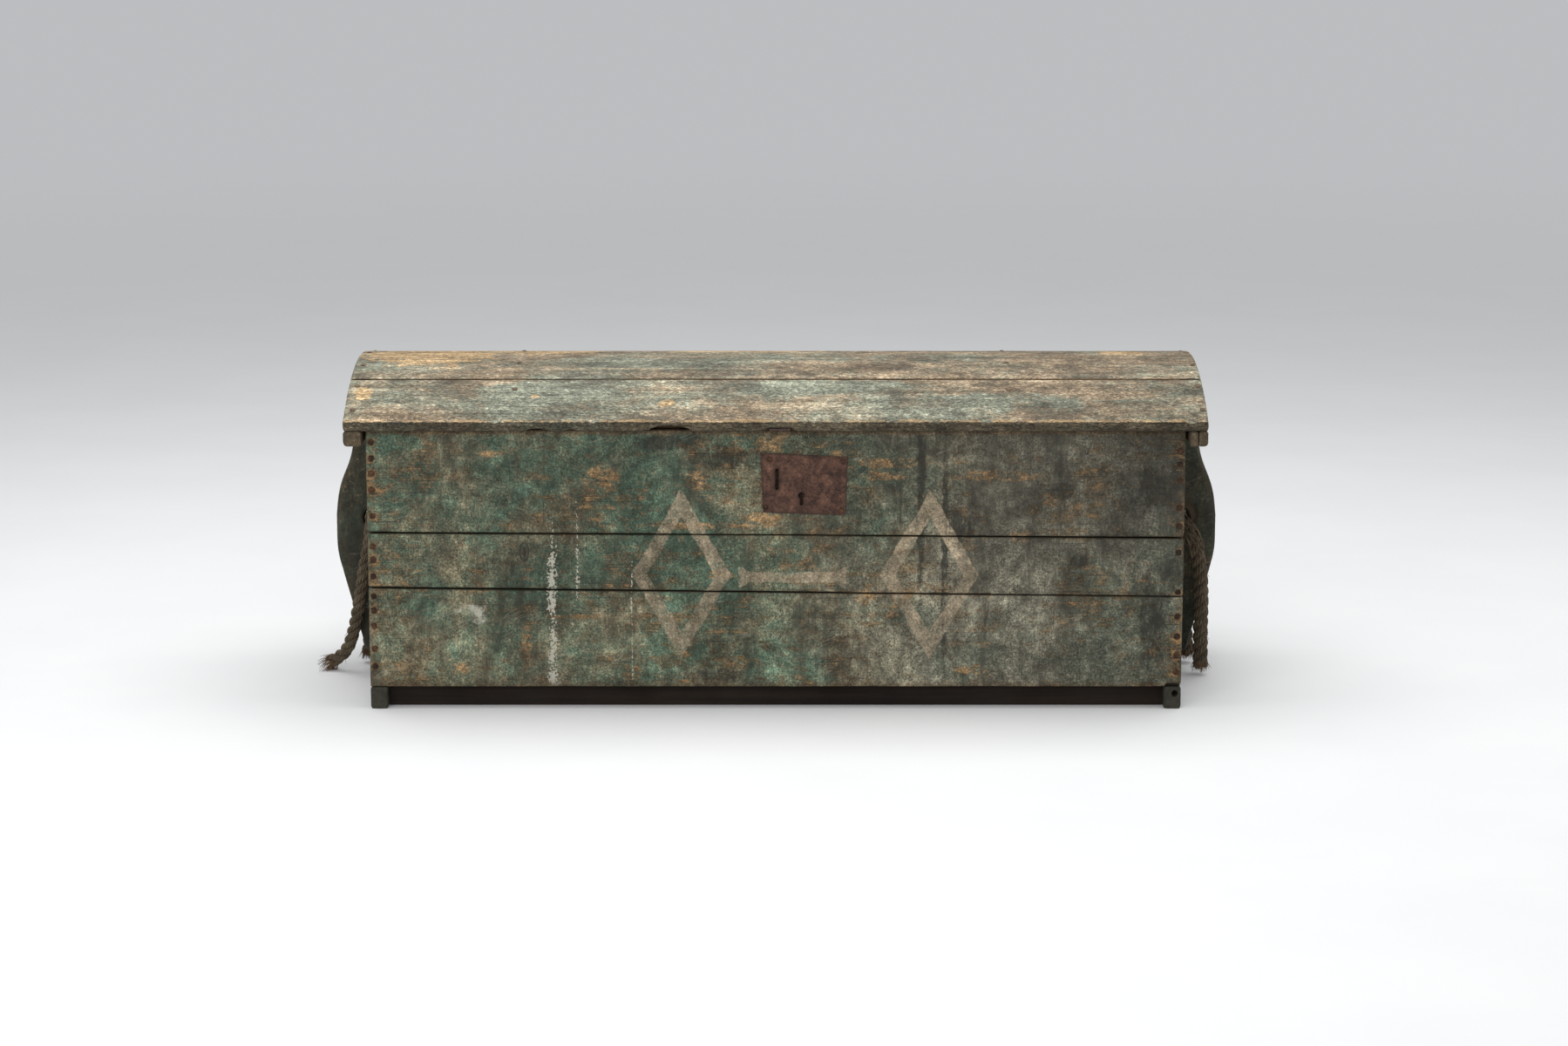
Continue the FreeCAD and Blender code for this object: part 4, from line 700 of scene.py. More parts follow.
# Patches of the lid rubbed to bare wood, as a centre and half sizes along X and Y in metres
LID_BARE = (
    (-0.52, 0.02, 0.13, 0.12), (-0.35, 0.05, 0.1, 0.06), (-0.61, -0.18, 0.016, 0.03),
    (-0.16, -0.205, 0.018, 0.014), (-0.356, -0.186, 0.008, 0.006), (0.53, 0.02, 0.05, 0.04),
    (-0.05, 0.05, 0.16, 0.03),
)
LID_DARK = (
    (-0.5, -0.16, 0.1, 0.05), (-0.33, -0.12, 0.06, 0.02), (-0.06, -0.17, 0.09, 0.04),
    (-0.62, -0.08, 0.02, 0.08), (0.43, -0.1, 0.12, 0.04), (0.56, -0.19, 0.06, 0.03),
    (0.15, -0.08, 0.08, 0.02),
)
LID_GREEN = (
    (-0.33, -0.18, 0.12, 0.04), (0.06, -0.16, 0.17, 0.03), (0.33, -0.2, 0.16, 0.034),
    (-0.18, -0.06, 0.14, 0.06), (0.25, -0.03, 0.18, 0.05),
)


def lid_spots(w, at, table):
    flat = w.stretch(at, (1.0, 1.0, 0.0))
    return spots(w, flat, [((x, y, 0.0), (wide, deep, 1.0)) for x, y, wide, deep in table])


def lid_paint(c):
    material, w = new_material("Lid paint")
    at = w.place()
    along = grain_along(w, at, "x")
    x, y, z = w.split(at)
    grain = w.use(board_grain(), {"Vector": along})
    drawn = w.stretch(along, (0.7, 1.2, 1.2))
    spread = w.use(mottle(), {"Vector": drawn, "Contrast": 26.0, "Lean": -0.1})
    patches = w.noise(w.stretch(at, (0.6, 1.0, 1.0)), 8.0, 8.0, 0.74, 0.5)
    fibres = w.streaks(along, (150.0, 480.0, 480.0), 3.0, 0.8)
    hairs = w.streaks(along, (9.0, 560.0, 560.0), 2.0, 0.6)
    fade_back = w.ramp(y, -0.16, -0.08)
    left = w.ramp(x, -0.44, -0.56)

    # Green paint thinned to tan wood, each shaded by the fibres and the grain
    green_at = w.total(
        (patches, 1.0), (lid_spots(w, at, LID_GREEN), 0.16), (fade_back, -0.1), (fibres, 0.25), (left, -0.1)
    )
    faded = w.blend(spread["Hue"], c.lid_tan, c.lid_green)
    wood = w.blend(w.ramp(green_at, 0.62, 0.74), faded, c.lid_green)
    shadow = w.math("POWER", 130.0, w.minus(fibres, 0.495))
    long_grain = w.math("POWER", 10.0, w.minus(grain["Streaks"], 0.5))
    lit = w.both(spread["Light"], shadow, long_grain, w.ramp(y, -0.14, -0.06, 1.0, 0.86))
    tone = w.tint(wood, lit)

    # Dark dirt, and patches rubbed bare
    clouds = w.noise(w.shift(drawn, (4.4, 0.7, 1.9)), 12.0, 9.0, 0.78)
    dark_at = w.total((clouds, 1.0), (grain["Streaks"], 0.3), (lid_spots(w, at, LID_DARK), 0.06))
    tone = w.blend(w.ramp(dark_at, 0.67, 0.75, 0.0, 0.6), tone, c.lid_dark)
    bare_at = w.total(
        (lid_spots(w, at, LID_BARE), 0.5), (grain["Streaks"], 0.9), (fibres, 0.35), (fade_back, 0.06),
        (left, 0.06),
    )
    tone = w.blend(w.ramp(bare_at, 0.82, 0.94, 0.0, 0.9), tone, w.tint(c.lid_bare, lit))

    # The front arris, rubbed pale, with a painted highlight along it
    below_top = w.minus(z, LID_LOW.z + LID_EDGE_TALL)
    from_arris = w.vector("LENGTH", w.join(0.0, w.minus(y, LID_LOW.y), below_top))
    shaggy = w.noise(w.stretch(at, (0.4, 1.0, 1.0)), 60.0, 6.0, 0.8)
    # How near a point is to the arris, for the worn pale wood and the painted highlight there
    rubbed = w.total((from_arris, -1.0), (shaggy, 0.022))
    worn_and_highlit_wood = w.tint(c.lid_bare, w.math("POWER", lit, 0.45))
    tone = w.blend(w.ramp(rubbed, 0.0074, 0.0094, 0.0, 0.8), tone, worn_and_highlit_wood)

    # Cracks, specks, and rust round the nails
    cracked = w.ramp(w.total((grain["Lines"], 0.6), (fibres, 0.4)), 0.42, 0.33, 0.0, 0.75)
    split_open = w.ramp(w.total((hairs, 1.0), (patches, -0.25)), 0.25, 0.19, 0.0, 0.8)
    tone = w.blend(w.either(cracked, split_open), tone, c.lid_dark)
    dotted = w.use(specks(), {"Vector": w.stretch(along, (0.7, 1.0, 1.0))})
    tone = w.blend(w.times(dotted["Dark"], 0.75), tone, c.lid_dark)
    tone = w.blend(w.both(dotted["Pale"], w.ramp(patches, 0.4, 0.55, 0.0, 0.7)), tone, c.lid_bare)
    nailed = w.ramp(w.total((w.mark("nail"), 0.6), (spread["Grit"], 0.6)), 0.62, 0.86, 0.0, 0.6)
    tone = w.blend(nailed, tone, c.stain)

    # The front edge's dirty face, paler along its top with worn wood and a painted highlight
    face = w.ramp(w.total((y, -1.0), (fibres, 0.0015)), -LID_LOW.y - 0.0028, -LID_LOW.y - 0.0018)
    below = w.both(face, w.ramp(w.total((below_top, 1.0), (fibres, 0.004)), 0.0005, -0.0005))
    dirty_edge = w.blend(w.ramp(patches, 0.5, 0.62), c.edge_wood, w.blend(0.5, c.edge_wood, c.smoked_green))
    edge_tone = w.blend(w.ramp(rubbed, 0.0132, 0.0146, 0.0, 0.6), w.tint(dirty_edge, lit), worn_and_highlit_wood)
    tone = w.blend(below, tone, edge_tone)

    # Bare pine inside, but dirty wood where the underside overhangs the box
    pine = timber(w, at, "x", c.inside, c.old_wood)
    overhangs = [
        w.ramp(w.math("ABSOLUTE", place), rim - 0.004, rim) for place, rim in ((y, RIM_BACK), (x, RIM_END))
    ]
    hidden = w.blend(w.either(*overhangs), pine["Colour"], w.blend(0.4, c.grime_and_gap_shade, c.edge_wood))
    tone = w.blend(w.mark("outside"), hidden, tone)
    height = w.total((grain["Streaks"], 0.8), (grain["Lines"], 0.9), (fibres, 1.0), (spread["Grit"], 0.8))
    shade(w, tone, 0.82, height, 0.0016, 0.7)
    return material


def cheek_wood(c):
    material, w = new_material("Cheek wood")
    dirty = w.blend(0.5, c.edge_wood, c.old_wood)
    _, paint = painted(w, c, "y", dirty, c.old_wood, wear=0.2, contrast=40.0)
    tone = w.blend(w.mark("outside"), dirty, paint["Colour"])
    shade(w, tone, paint["Roughness"], paint["Height"])
    return material


# Where the right cleat is worn hollow by its rope, as X and Z in metres, its half size and depth
HOLLOW = (0.628, 0.248)
HOLLOW_HALF = 0.023
HOLLOW_DEEP = 0.0035


def cleat_paint(c):
    material, w = new_material("Cleat paint")
    at, paint = painted(w, c, "z", c.cleat, c.cleat_brown, wear=0.1, contrast=40.0)
    x, _, z = w.split(at)
    rim_at = w.total((w.mark("edge"), 0.8), (w.noise(at, 60.0, 3.0), 0.3))
    away = w.vector("DISTANCE", w.join(x, 0.0, z), (HOLLOW[0], 0.0, HOLLOW[1]))
    ragged = w.total((away, 1.0), (w.noise(at, 90.0, 4.0), 0.008))
    hollow = w.ramp(ragged, HOLLOW_HALF + 0.006, HOLLOW_HALF, 0.0, 0.9)
    brown = w.either(w.ramp(rim_at, 0.6, 0.85, 0.0, 0.8), hollow)
    tone = w.blend(brown, paint["Colour"], w.blend(0.4, c.old_wood, c.grime_and_gap_shade))
    shade(w, tone, paint["Roughness"], paint["Height"])
    return material


def plain_wood(name, axis, light, dark):
    material, w = new_material(name)
    at = w.place()
    wood = timber(w, at, axis, light, dark)
    shade(w, wood["Colour"], wood["Roughness"], wood["Height"])
    return material


def iron(name, base, bloom, pit, rub):
    material, w = new_material(name)
    inputs = {
        "Vector": w.place(), "Edge": w.mark("edge"), "Base": base, "Bloom": bloom, "Pit": pit, "Rub": rub
    }
    rust = w.use(rusted(), inputs)
    shade(w, rust["Colour"], rust["Roughness"], rust["Height"], 0.0006, metallic=0.25)
    return material


def rope_fibre(name, base, dark):
    material, w = new_material(name)
    at = w.place()
    fibres = w.streaks(at, (700.0, 700.0, 170.0), 3.0, 0.7)
    cloud = w.noise(at, 55.0, 4.0, 0.6)
    tone = w.blend(w.ramp(w.total((fibres, 0.7), (cloud, 0.4)), 0.4, 0.75), dark, base)
    shade(w, tone, 0.85, fibres, 0.0008, gloss=0.2)
    return material


def rope_colour(colour_value, amount):
    return (*[channel * amount for channel in colour_value[:3]], 1.0)


def pale_floor(c):
    """Matt near the chest, and for the camera as pale as the backdrop far away."""
    material, w = new_material("Pale floor")
    x, y, _ = w.split(w.place())
    away = w.vector("LENGTH", w.join(x, y, 0.0))
    grit = w.noise(w.place(), 3.0, 3.0)
    tone = w.blend(w.ramp(grit, 0.3, 0.7), c.floor, (0.87, 0.87, 0.875, 1.0))
    surface = {"Base Color": tone, "Roughness": 0.9, "Specular IOR Level": 0.1}
    near = w.node("ShaderNodeBsdfPrincipled", surface)
    far = w.node("ShaderNodeEmission", {"Color": c.haze, "Strength": 1.0})
    fade = w.both(w.ramp(away, 1.6, 9.0), w.node("ShaderNodeLightPath").outputs["Is Camera Ray"])
    both = w.node("ShaderNodeMixShader", {0: fade, 1: near.outputs[0], 2: far.outputs[0]})
    w.node("ShaderNodeOutputMaterial", {"Surface": both.outputs[0]})
    return material


# Weathered pieces

SHARP_ANGLE = math.radians(28)
# The side of a square nail hole tells its corners from a board's own
NAIL_HOLE_SIDE = 0.0034
HOLE_TOLERANCE = 0.0001
SAMPLE_STEP = 0.002
MERGE_BELOW = 1e-5
# How fast the noise that chips a board varies along its grain and across it, per metre, and how fast the
# grain's own relief does beside that
ALONG_GRAIN = 9
ACROSS_GRAIN = 70
RELIEF_FINER = 3.1
FINE_CHIPS = 190


def tree_of(points):
    tree = KDTree(len(points))
    for i, point in enumerate(points):
        tree.insert(point, i)
    tree.balance()
    return tree


def arrises(node):
    """A merged copy of a CAD node, points along its sharp corners, and points round its nail holes."""
    bm = bmesh.new()
    bm.from_mesh(frame["nodes"][node].data)
    bmesh.ops.remove_doubles(bm, verts=bm.verts, dist=MERGE_BELOW)
    corners = []
    holes = []
    for edge in bm.edges:
        if len(edge.link_faces) != 2 or not edge.is_convex or edge.calc_face_angle() < SHARP_ANGLE:
            continue
        a, b = (v.co for v in edge.verts)
        long = edge.calc_length()
        if abs(long - NAIL_HOLE_SIDE) < HOLE_TOLERANCE:
            holes.append((a + b) / 2)
            continue
        steps = max(1, round(long / SAMPLE_STEP))
        corners.extend(a.lerp(b, i / steps) for i in range(steps + 1))
    mesh = bpy.data.meshes.new(node)
    bm.to_mesh(mesh)
    bm.free()
    return mesh, corners, holes


def even_mesh(name, mesh, grid):
    """The closed shape in small even faces."""
    draft = bpy.data.objects.new(f"{name}_draft", mesh)
    bpy.context.scene.collection.objects.link(draft)
    remesh = draft.modifiers.new("Even faces", "REMESH")
    remesh.mode = "VOXEL"
    remesh.voxel_size = grid
    remesh.use_smooth_shade = True
    graph = bpy.context.evaluated_depsgraph_get()
    made = bpy.data.meshes.new_from_object(draft.evaluated_get(graph))
    bpy.data.objects.remove(draft)
    bpy.data.meshes.remove(mesh)
    made.name = name
    return made


def closeness(tree, point, reach):
    if not tree:
        return 0.0
    return max(0.0, 1.0 - tree.find(point)[2] / reach)


def dress(piece, material):
    piece.data.materials.clear()
    piece.data.materials.append(material)


# Chips out of the lid's front edge, as X, half width, depth, and 1 for the top arris or 0 for the foot
LID_CHIPS = (
    (-0.412, 0.010, 0.0045, 1), (-0.268, 0.012, 0.004, 1), (-0.560, 0.014, 0.003, 1),
    (-0.480, 0.009, 0.003, 1), (-0.150, 0.008, 0.0035, 1), (0.090, 0.010, 0.003, 1),
    (0.310, 0.012, 0.0035, 1), (0.500, 0.009, 0.004, 1), (0.610, 0.012, 0.005, 1),
    (-0.350, 0.020, 0.004, 0), (-0.300, 0.012, 0.003, 0), (-0.156, 0.034, 0.007, 0),
)
CHIPS_REACH_BACK = 0.03
UNEVEN_DEEP = 0.0016
CLEAT_FRONT_BAND = 0.02


def chipped_edge(at):
    """Chips and unevenness along the lid's front edge."""
    if at.y > LID_LOW.y + CHIPS_REACH_BACK:
        return 0.0
    tall = (at.z - LID_LOW.z) / LID_EDGE_TALL
    deep = 0.0
    for place, wide, depth, level in LID_CHIPS:
        beside = abs(at.x - place) / wide
        if beside < 1.0:
            near = max(0.0, 1.0 - abs(tall - level) / 0.6)
            deep = max(deep, depth * near * (1.0 - beside * beside))
    ragged = noise.noise(Vector((at.x * 55, 3.1, at.z * 40)))
    ragged += 0.6 * noise.noise(Vector((at.x * 160, 7.7, 1.3)))
    return deep + UNEVEN_DEEP * max(0.0, ragged) * max(0.0, 1.0 - abs(tall - 1.0) / 0.5)


def worn_hollow(at):
    """The shallow hollow that the rope has worn in the right cleat's front face."""
    if at.y > CLEAT_FRONT_BAND or at.x < HOLLOW[0] - HOLLOW_HALF:
        return 0.0
    away = math.hypot(at.x - HOLLOW[0], at.z - HOLLOW[1])
    return HOLLOW_DEEP * max(0.0, min(1.0, (HOLLOW_HALF - away) / 0.004))


def box_outside(at, normal):
    return abs(at.x) > BOX_HIGH.x - SKIN or at.y < BOX_LOW.y + SKIN or at.y > BOX_HIGH.y - SKIN


def lid_outside(at, normal):
    beyond = abs(at.x) > LID_HIGH.x - SKIN or abs(at.y) > abs(LID_LOW.y) - SKIN
    return beyond or normal.z > 0.6


def all_outside(at, normal):
    """A piece whose every face is seen."""
    return True


# Shapes that only one piece has
OWN_SHAPES = {"lid_board_front": chipped_edge, "cleat_right": worn_hollow}


def weathered(node, grid, axis, outside, wear=1.0, relief=1.0, seed=0.0):
    """A worn piece that stands for a CAD node: its corners are rounded and chipped inwards, its faces
    follow the grain, and each point carries marks that its paint reads."""
    sizes = bpy.context.scene.chest_sizes
    draft, corners, holes = arrises(node)
    corner_tree = tree_of(corners) if corners else None
    hole_tree = tree_of(holes) if holes else None
    mesh = even_mesh(node, draft, grid)
    shape = OWN_SHAPES.get(node)
    scale = Vector(ALONG_GRAIN if letter == axis else ACROSS_GRAIN for letter in "xyz")
    normals = [v.normal.copy() for v in mesh.vertices]
    marks = {"edge": [], "nail": [], "outside": [], "board": []}
    drift = Vector((seed, seed * 2.3, seed * 1.7))
    for vertex, normal in zip(mesh.vertices, normals):
        at = vertex.co
        near = closeness(corner_tree, at, sizes.arris_reach)
        chips = noise.noise(at * scale + drift) + 0.5 * noise.noise(at * FINE_CHIPS + drift)
        chips = max(0.0, chips)
        worn = sizes.arris_wear * wear * near**3 * (0.45 + chips * 1.6)
        grain = 0.5 + 0.5 * noise.noise(Vector(a * b for a, b in zip(at * RELIEF_FINER, scale)) + drift)
        seen = outside(at, normal)
        marks["edge"].append(min(1.0, near**1.5 * (0.75 + 0.6 * chips)))
        marks["nail"].append(closeness(hole_tree, at, sizes.stain_reach))
        marks["outside"].append(1.0 if seen else 0.0)
        marks["board"].append(seed)
        inwards = worn + (sizes.grain_relief * relief * grain if seen else 0.0)
        if shape:
            inwards += shape(at)
        vertex.co = at - normal * inwards
    for name, values in marks.items():
        mesh.attributes.new(name, "FLOAT", "POINT").data.foreach_set("value", values)
    piece = bpy.data.objects.new(f"{node}_worn", mesh)
    bpy.context.scene.collection.objects.link(piece)
    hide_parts(node)
    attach(piece, BODY_OF[node])
    return piece


def pieces(kind, words, material, grid, axis, outside, seed, seed_step=1.0, **how):
    """Weathered pieces of one kind, named by the kind and a word, each from a seed of its own."""
    for i, word in enumerate(words):
        piece = weathered(f"{kind}_{word}", grid, axis, outside, seed=seed + i * seed_step, **how)
        dress(piece, material)


LEVELS = ("lower", "middle", "upper")
SIDES = ("left", "right")


class CHEST_OT_front(bpy.types.Operator):
    """Make the three front boards, with their open joints, worn corners and painted device"""

    bl_idname = "chest.front"
    bl_label = "Front boards"

    def execute(self, context):
        grid = context.scene.chest_sizes.front_grid
        material = front_paint(context.scene.chest_colours)
        pieces("front_board", LEVELS, material, grid, "x", box_outside, seed=1.3, seed_step=4.1, wear=0.5)
        return {"FINISHED"}


class CHEST_OT_sides(bpy.types.Operator):
    """Make the back boards and the end boards"""

    bl_idname = "chest.sides"
    bl_label = "Back and end boards"

    def execute(self, context):
        grid = context.scene.chest_sizes.side_grid
        colours = context.scene.chest_colours
        back = box_paint(colours, "Back paint", "x")
        ends = box_paint(colours, "End paint", "y")
        pieces("back_board", LEVELS, back, grid, "x", box_outside, seed=21.7, seed_step=3.9)
        words = [f"{side}_{level}" for side in SIDES for level in ("lower", "upper")]
        pieces("end_board", words, ends, grid, "y", box_outside, seed=41.9, seed_step=5.3)
        return {"FINISHED"}


class CHEST_OT_lid(bpy.types.Operator):
    """Make the lid's three boards and its end cheeks"""

    bl_idname = "chest.lid"
    bl_label = "Lid"

    def execute(self, context):
        sizes = context.scene.chest_sizes
        colours = context.scene.chest_colours
        pieces(
            "lid_board", ("front", "middle", "back"), lid_paint(colours), sizes.lid_grid, "x", lid_outside,
            seed=61.3, seed_step=6.1, wear=0.8, relief=1.4,
        )
        pieces(
            "lid_cheek", ("left", "right_inner", "right_outer"), cheek_wood(colours), sizes.small_grid, "y",
            lid_outside, seed=83.1, seed_step=2.9, wear=0.5,
        )
        return {"FINISHED"}


class CHEST_OT_footing(bpy.types.Operator):
    """Make the runners, the rails and the two end cleats"""

    bl_idname = "chest.footing"
    bl_label = "Runners, rails and cleats"

    def execute(self, context):
        grid = context.scene.chest_sizes.small_grid
        runners = plain_wood("Runner wood", "y", (0.046, 0.044, 0.032, 1.0), (0.024, 0.022, 0.015, 1.0))
        # The rails' near-black wood is dark stain, darkened further with painted shade of the recess under
        # the chest
        rails = plain_wood("Rail wood", "x", (0.018, 0.011, 0.006, 1.0), (0.007, 0.004, 0.003, 1.0))
        cleats = cleat_paint(context.scene.chest_colours)
        pieces("runner", SIDES, runners, grid, "y", all_outside, seed=91.3, wear=0.5)
        pieces("cleat", SIDES, cleats, grid, "z", all_outside, seed=97.7, relief=0.8)
        for name in ("rail_front", "rail_back"):
            dress(frame["nodes"][name], rails)
        return {"FINISHED"}


class CHEST_OT_ironwork(bpy.types.Operator):
    """Make the lock plate, and give the lock, the hinges and the nails their rust"""

    bl_idname = "chest.ironwork"
    bl_label = "Ironwork"

    def execute(self, context):
        c = context.scene.chest_colours
        grid = context.scene.chest_sizes.plate_grid
        rust = iron(
            "Plate rust", c.plate, (0.12, 0.06, 0.04, 1.0), (0.03, 0.018, 0.015, 1.0), (0.2, 0.15, 0.12, 1.0)
        )
        dark = iron(
            "Dark iron", c.iron, (0.1, 0.05, 0.03, 1.0), (0.015, 0.012, 0.01, 1.0), (0.16, 0.13, 0.11, 1.0)
        )
        nail = iron(
            "Nail rust", (0.03, 0.018, 0.012, 1.0), (0.09, 0.042, 0.02, 1.0), (0.01, 0.008, 0.006, 1.0),
            c.stain,
        )
        dusty_nail = iron("Dusty nail", (0.15, 0.11, 0.08, 1.0), (0.2, 0.14, 0.09, 1.0), c.iron, c.stain)
        hasp = iron(
            "Hasp iron", (0.075, 0.05, 0.043, 1.0), (0.12, 0.08, 0.065, 1.0), c.iron, (0.3, 0.24, 0.2, 1.0)
        )
        plate = weathered("lock_plate", grid, "x", all_outside, wear=0.25, relief=0.5, seed=5.5)
        dress(plate, rust)
        # The first start of a name that fits gives the iron
        irons = {
            "nails_lid": dusty_nail, "nails_": nail, "hinge_nails": nail, "lock_rivets": nail, "hinge_": dark,
            "lock_case": dark, "lock_bolt": dark, "lock_spring": dark, "hasp_hinge_stub": hasp,
        }
        for name, thing in frame["nodes"].items():
            for start, metal in irons.items():
                if name.startswith(start):
                    dress(thing, metal)
                    break
        return {"FINISHED"}


class CHEST_OT_inside(bpy.types.Operator):
    """Give the bottom boards and the lid's ribs bare pine"""

    bl_idname = "chest.inside"
    bl_label = "Inside"

    def execute(self, context):
        c = context.scene.chest_colours
        pine = plain_wood("Bare pine", "x", c.inside, c.old_wood)
        ribs = plain_wood("Rib pine", "y", c.inside, c.old_wood)
        for name, thing in frame["nodes"].items():
            if name.startswith("bottom_board"):
                dress(thing, pine)
            elif name.startswith("lid_rib"):
                dress(thing, ribs)
        return {"FINISHED"}


# Rope tails: the points of each route in metres, from the middle of its hole to its end on the floor
ROPES = {
    "rope_left_front": (
        (-0.6215, 0.036, 0.2415), (-0.6215, 0.006, 0.2415), (-0.622, -0.013, 0.2355),
        (-0.623, -0.022, 0.2145), (-0.631, -0.020, 0.180), (-0.642, -0.010, 0.118),
        (-0.654, 0.006, 0.062), (-0.670, 0.022, 0.026), (-0.692, 0.032, 0.0135),
    ),
    "rope_left_back": (
        (-0.6215, 0.036, 0.2415), (-0.6215, 0.066, 0.2415), (-0.622, 0.085, 0.2355), (-0.623, 0.094, 0.2145),
        (-0.625, 0.093, 0.175), (-0.630, 0.088, 0.115), (-0.636, 0.084, 0.060), (-0.641, 0.084, 0.014),
    ),
    "rope_right_front": (
        (0.6215, 0.036, 0.2415), (0.6215, 0.006, 0.2415), (0.628, -0.013, 0.2355), (0.641, -0.021, 0.213),
        (0.651, -0.018, 0.178), (0.655, -0.010, 0.118), (0.655, -0.004, 0.062), (0.657, 0.001, 0.014),
    ),
    "rope_right_back": (
        (0.6215, 0.036, 0.2415), (0.6215, 0.066, 0.2415), (0.623, 0.085, 0.2355), (0.627, 0.094, 0.2145),
        (0.632, 0.093, 0.175), (0.637, 0.088, 0.115), (0.641, 0.084, 0.060), (0.645, 0.084, 0.014),
    ),
}
# Each tail's real length and the thickness it shows
ROPE_FACTS = {
    "rope_left_front": (0.294, 0.0205), "rope_left_back": (0.273, 0.0205),
    "rope_right_front": (0.278, 0.0245), "rope_right_back": (0.273, 0.0225),
}
STRANDS = 3
YARNS = 6
ROUTE_STEPS = 24
# The share of the rope's half thickness that a strand takes, of a strand's that a yarn takes, the strand's
# core in yarns, and the yarns' lay beside the strands'
STRAND_SHARE = 0.51
YARN_SHARE = 0.36
CORE_YARNS = 1.9
YARN_LAY = 0.9
# A rope hole: how far it is from the chest's middle, the Y where its packing starts, and its Z
HOLE = (0.6215, 0.0155, 0.244)
PACKING_LONG = 0.041
PACKING_OUT = 0.0106
PACKING_THICK = 0.0024
PACKING_LAY = 0.0045
PACKING_STEPS = 120
# Fibres of a tail's tuft and along it, their half thickness, their lowest place, and the longest of a tuft
TUFT_FIBRES = 150
SIDE_FIBRES = 60
FIBRE_STEPS = 5
FIBRE_THICK = 0.00038
FIBRE_LOWEST = 0.0012
TUFT_LONGEST = {"rope_left_front": 0.026}
TUFT_USUAL = 0.014
LOOSE_YARNS = 30
LOOSE_YARN_THICK = 0.0013


def rope_line(name, route):
    """Points along the smooth line that a route gives."""
    curve = bpy.data.curves.new(f"{name}_line", "CURVE")
    curve.dimensions = "3D"
    curve.resolution_u = ROUTE_STEPS
    spline = curve.splines.new("NURBS")
    spline.points.add(len(route) - 1)
    for point, place in zip(spline.points, route):
        point.co = (*place, 1.0)
    spline.order_u = 3
    spline.use_endpoint_u = True
    thing = bpy.data.objects.new(f"{name}_line", curve)
    mesh = bpy.data.meshes.new_from_object(thing)
    points = [v.co.copy() for v in mesh.vertices]
    bpy.data.meshes.remove(mesh)
    bpy.data.objects.remove(thing)
    bpy.data.curves.remove(curve)
    return points


def frames_along(points):
    """For each point its distance along the line and two steady directions square to the line."""
    side = Vector((0, 0, 1)).cross(points[1] - points[0]).normalized()
    result = []
    gone = 0.0
    for i, point in enumerate(points):
        ahead = points[min(i + 1, len(points) - 1)] - points[max(i - 1, 0)]
        ahead.normalize()
        side = (side - ahead * side.dot(ahead)).normalized()
        result.append((gone, point, side, ahead.cross(side)))
        if i + 1 < len(points):
            gone += (points[i + 1] - point).length
    return result


def tubes(name, lines, radius, sides=2):
    """A mesh of round tubes along lines of points, each point with its share of the radius."""
    curve = bpy.data.curves.new(name, "CURVE")
    curve.dimensions = "3D"
    curve.bevel_depth = radius
    curve.bevel_resolution = sides
    curve.use_fill_caps = True
    for line in lines:
        spline = curve.splines.new("POLY")
        spline.points.add(len(line) - 1)
        for point, (place, thick) in zip(spline.points, line):
            point.co = (*place, 1.0)
            point.radius = thick
    draft = bpy.data.objects.new(name, curve)
    mesh = bpy.data.meshes.new_from_object(draft)
    bpy.data.objects.remove(draft)
    bpy.data.curves.remove(curve)
    for polygon in mesh.polygons:
        polygon.use_smooth = True
    mesh.name = name
    piece = bpy.data.objects.new(name, mesh)
    bpy.context.scene.collection.objects.link(piece)
    return piece


def around(side, other, angle):
    """The direction at an angle round a line, from two directions square to it."""
    return side * math.cos(angle) + other * math.sin(angle)


def helix(line, out, lay, turn):
    """Points that wind round a line, each turn of them as long as the lay."""
    points = []
    for gone, point, side, other in frames_along(line):
        points.append(point + around(side, other, math.tau * (gone / lay + turn)) * out)
    return points


def yarn_lines(line, diameter, lay):
    """The yarns of a laid rope: three strands wound one way, each of yarns wound the other way."""
    strand = diameter / 2 * STRAND_SHARE
    yarn = strand * YARN_SHARE
    lines = []
    for k in range(STRANDS):
        middle = helix(line, diameter / 2 - strand, lay, k / STRANDS)
        lines.append([(point, CORE_YARNS) for point in middle])
        for i in range(YARNS):
            wound = helix(middle, strand - yarn, -lay * YARN_LAY, i / YARNS)
            lines.append([(point, 1.0) for point in wound])
    return lines, yarn


def fibre(start, way, long, bend):
    """One loose fibre: a short line that leaves along a way and droops."""
    points = []
    for i in range(FIBRE_STEPS + 1):
        gone = i / FIBRE_STEPS
        droop = Vector((0, 0, -bend * gone * gone * long))
        points.append((start + way * (long * gone) + droop, 1.0 - 0.7 * gone))
    return points


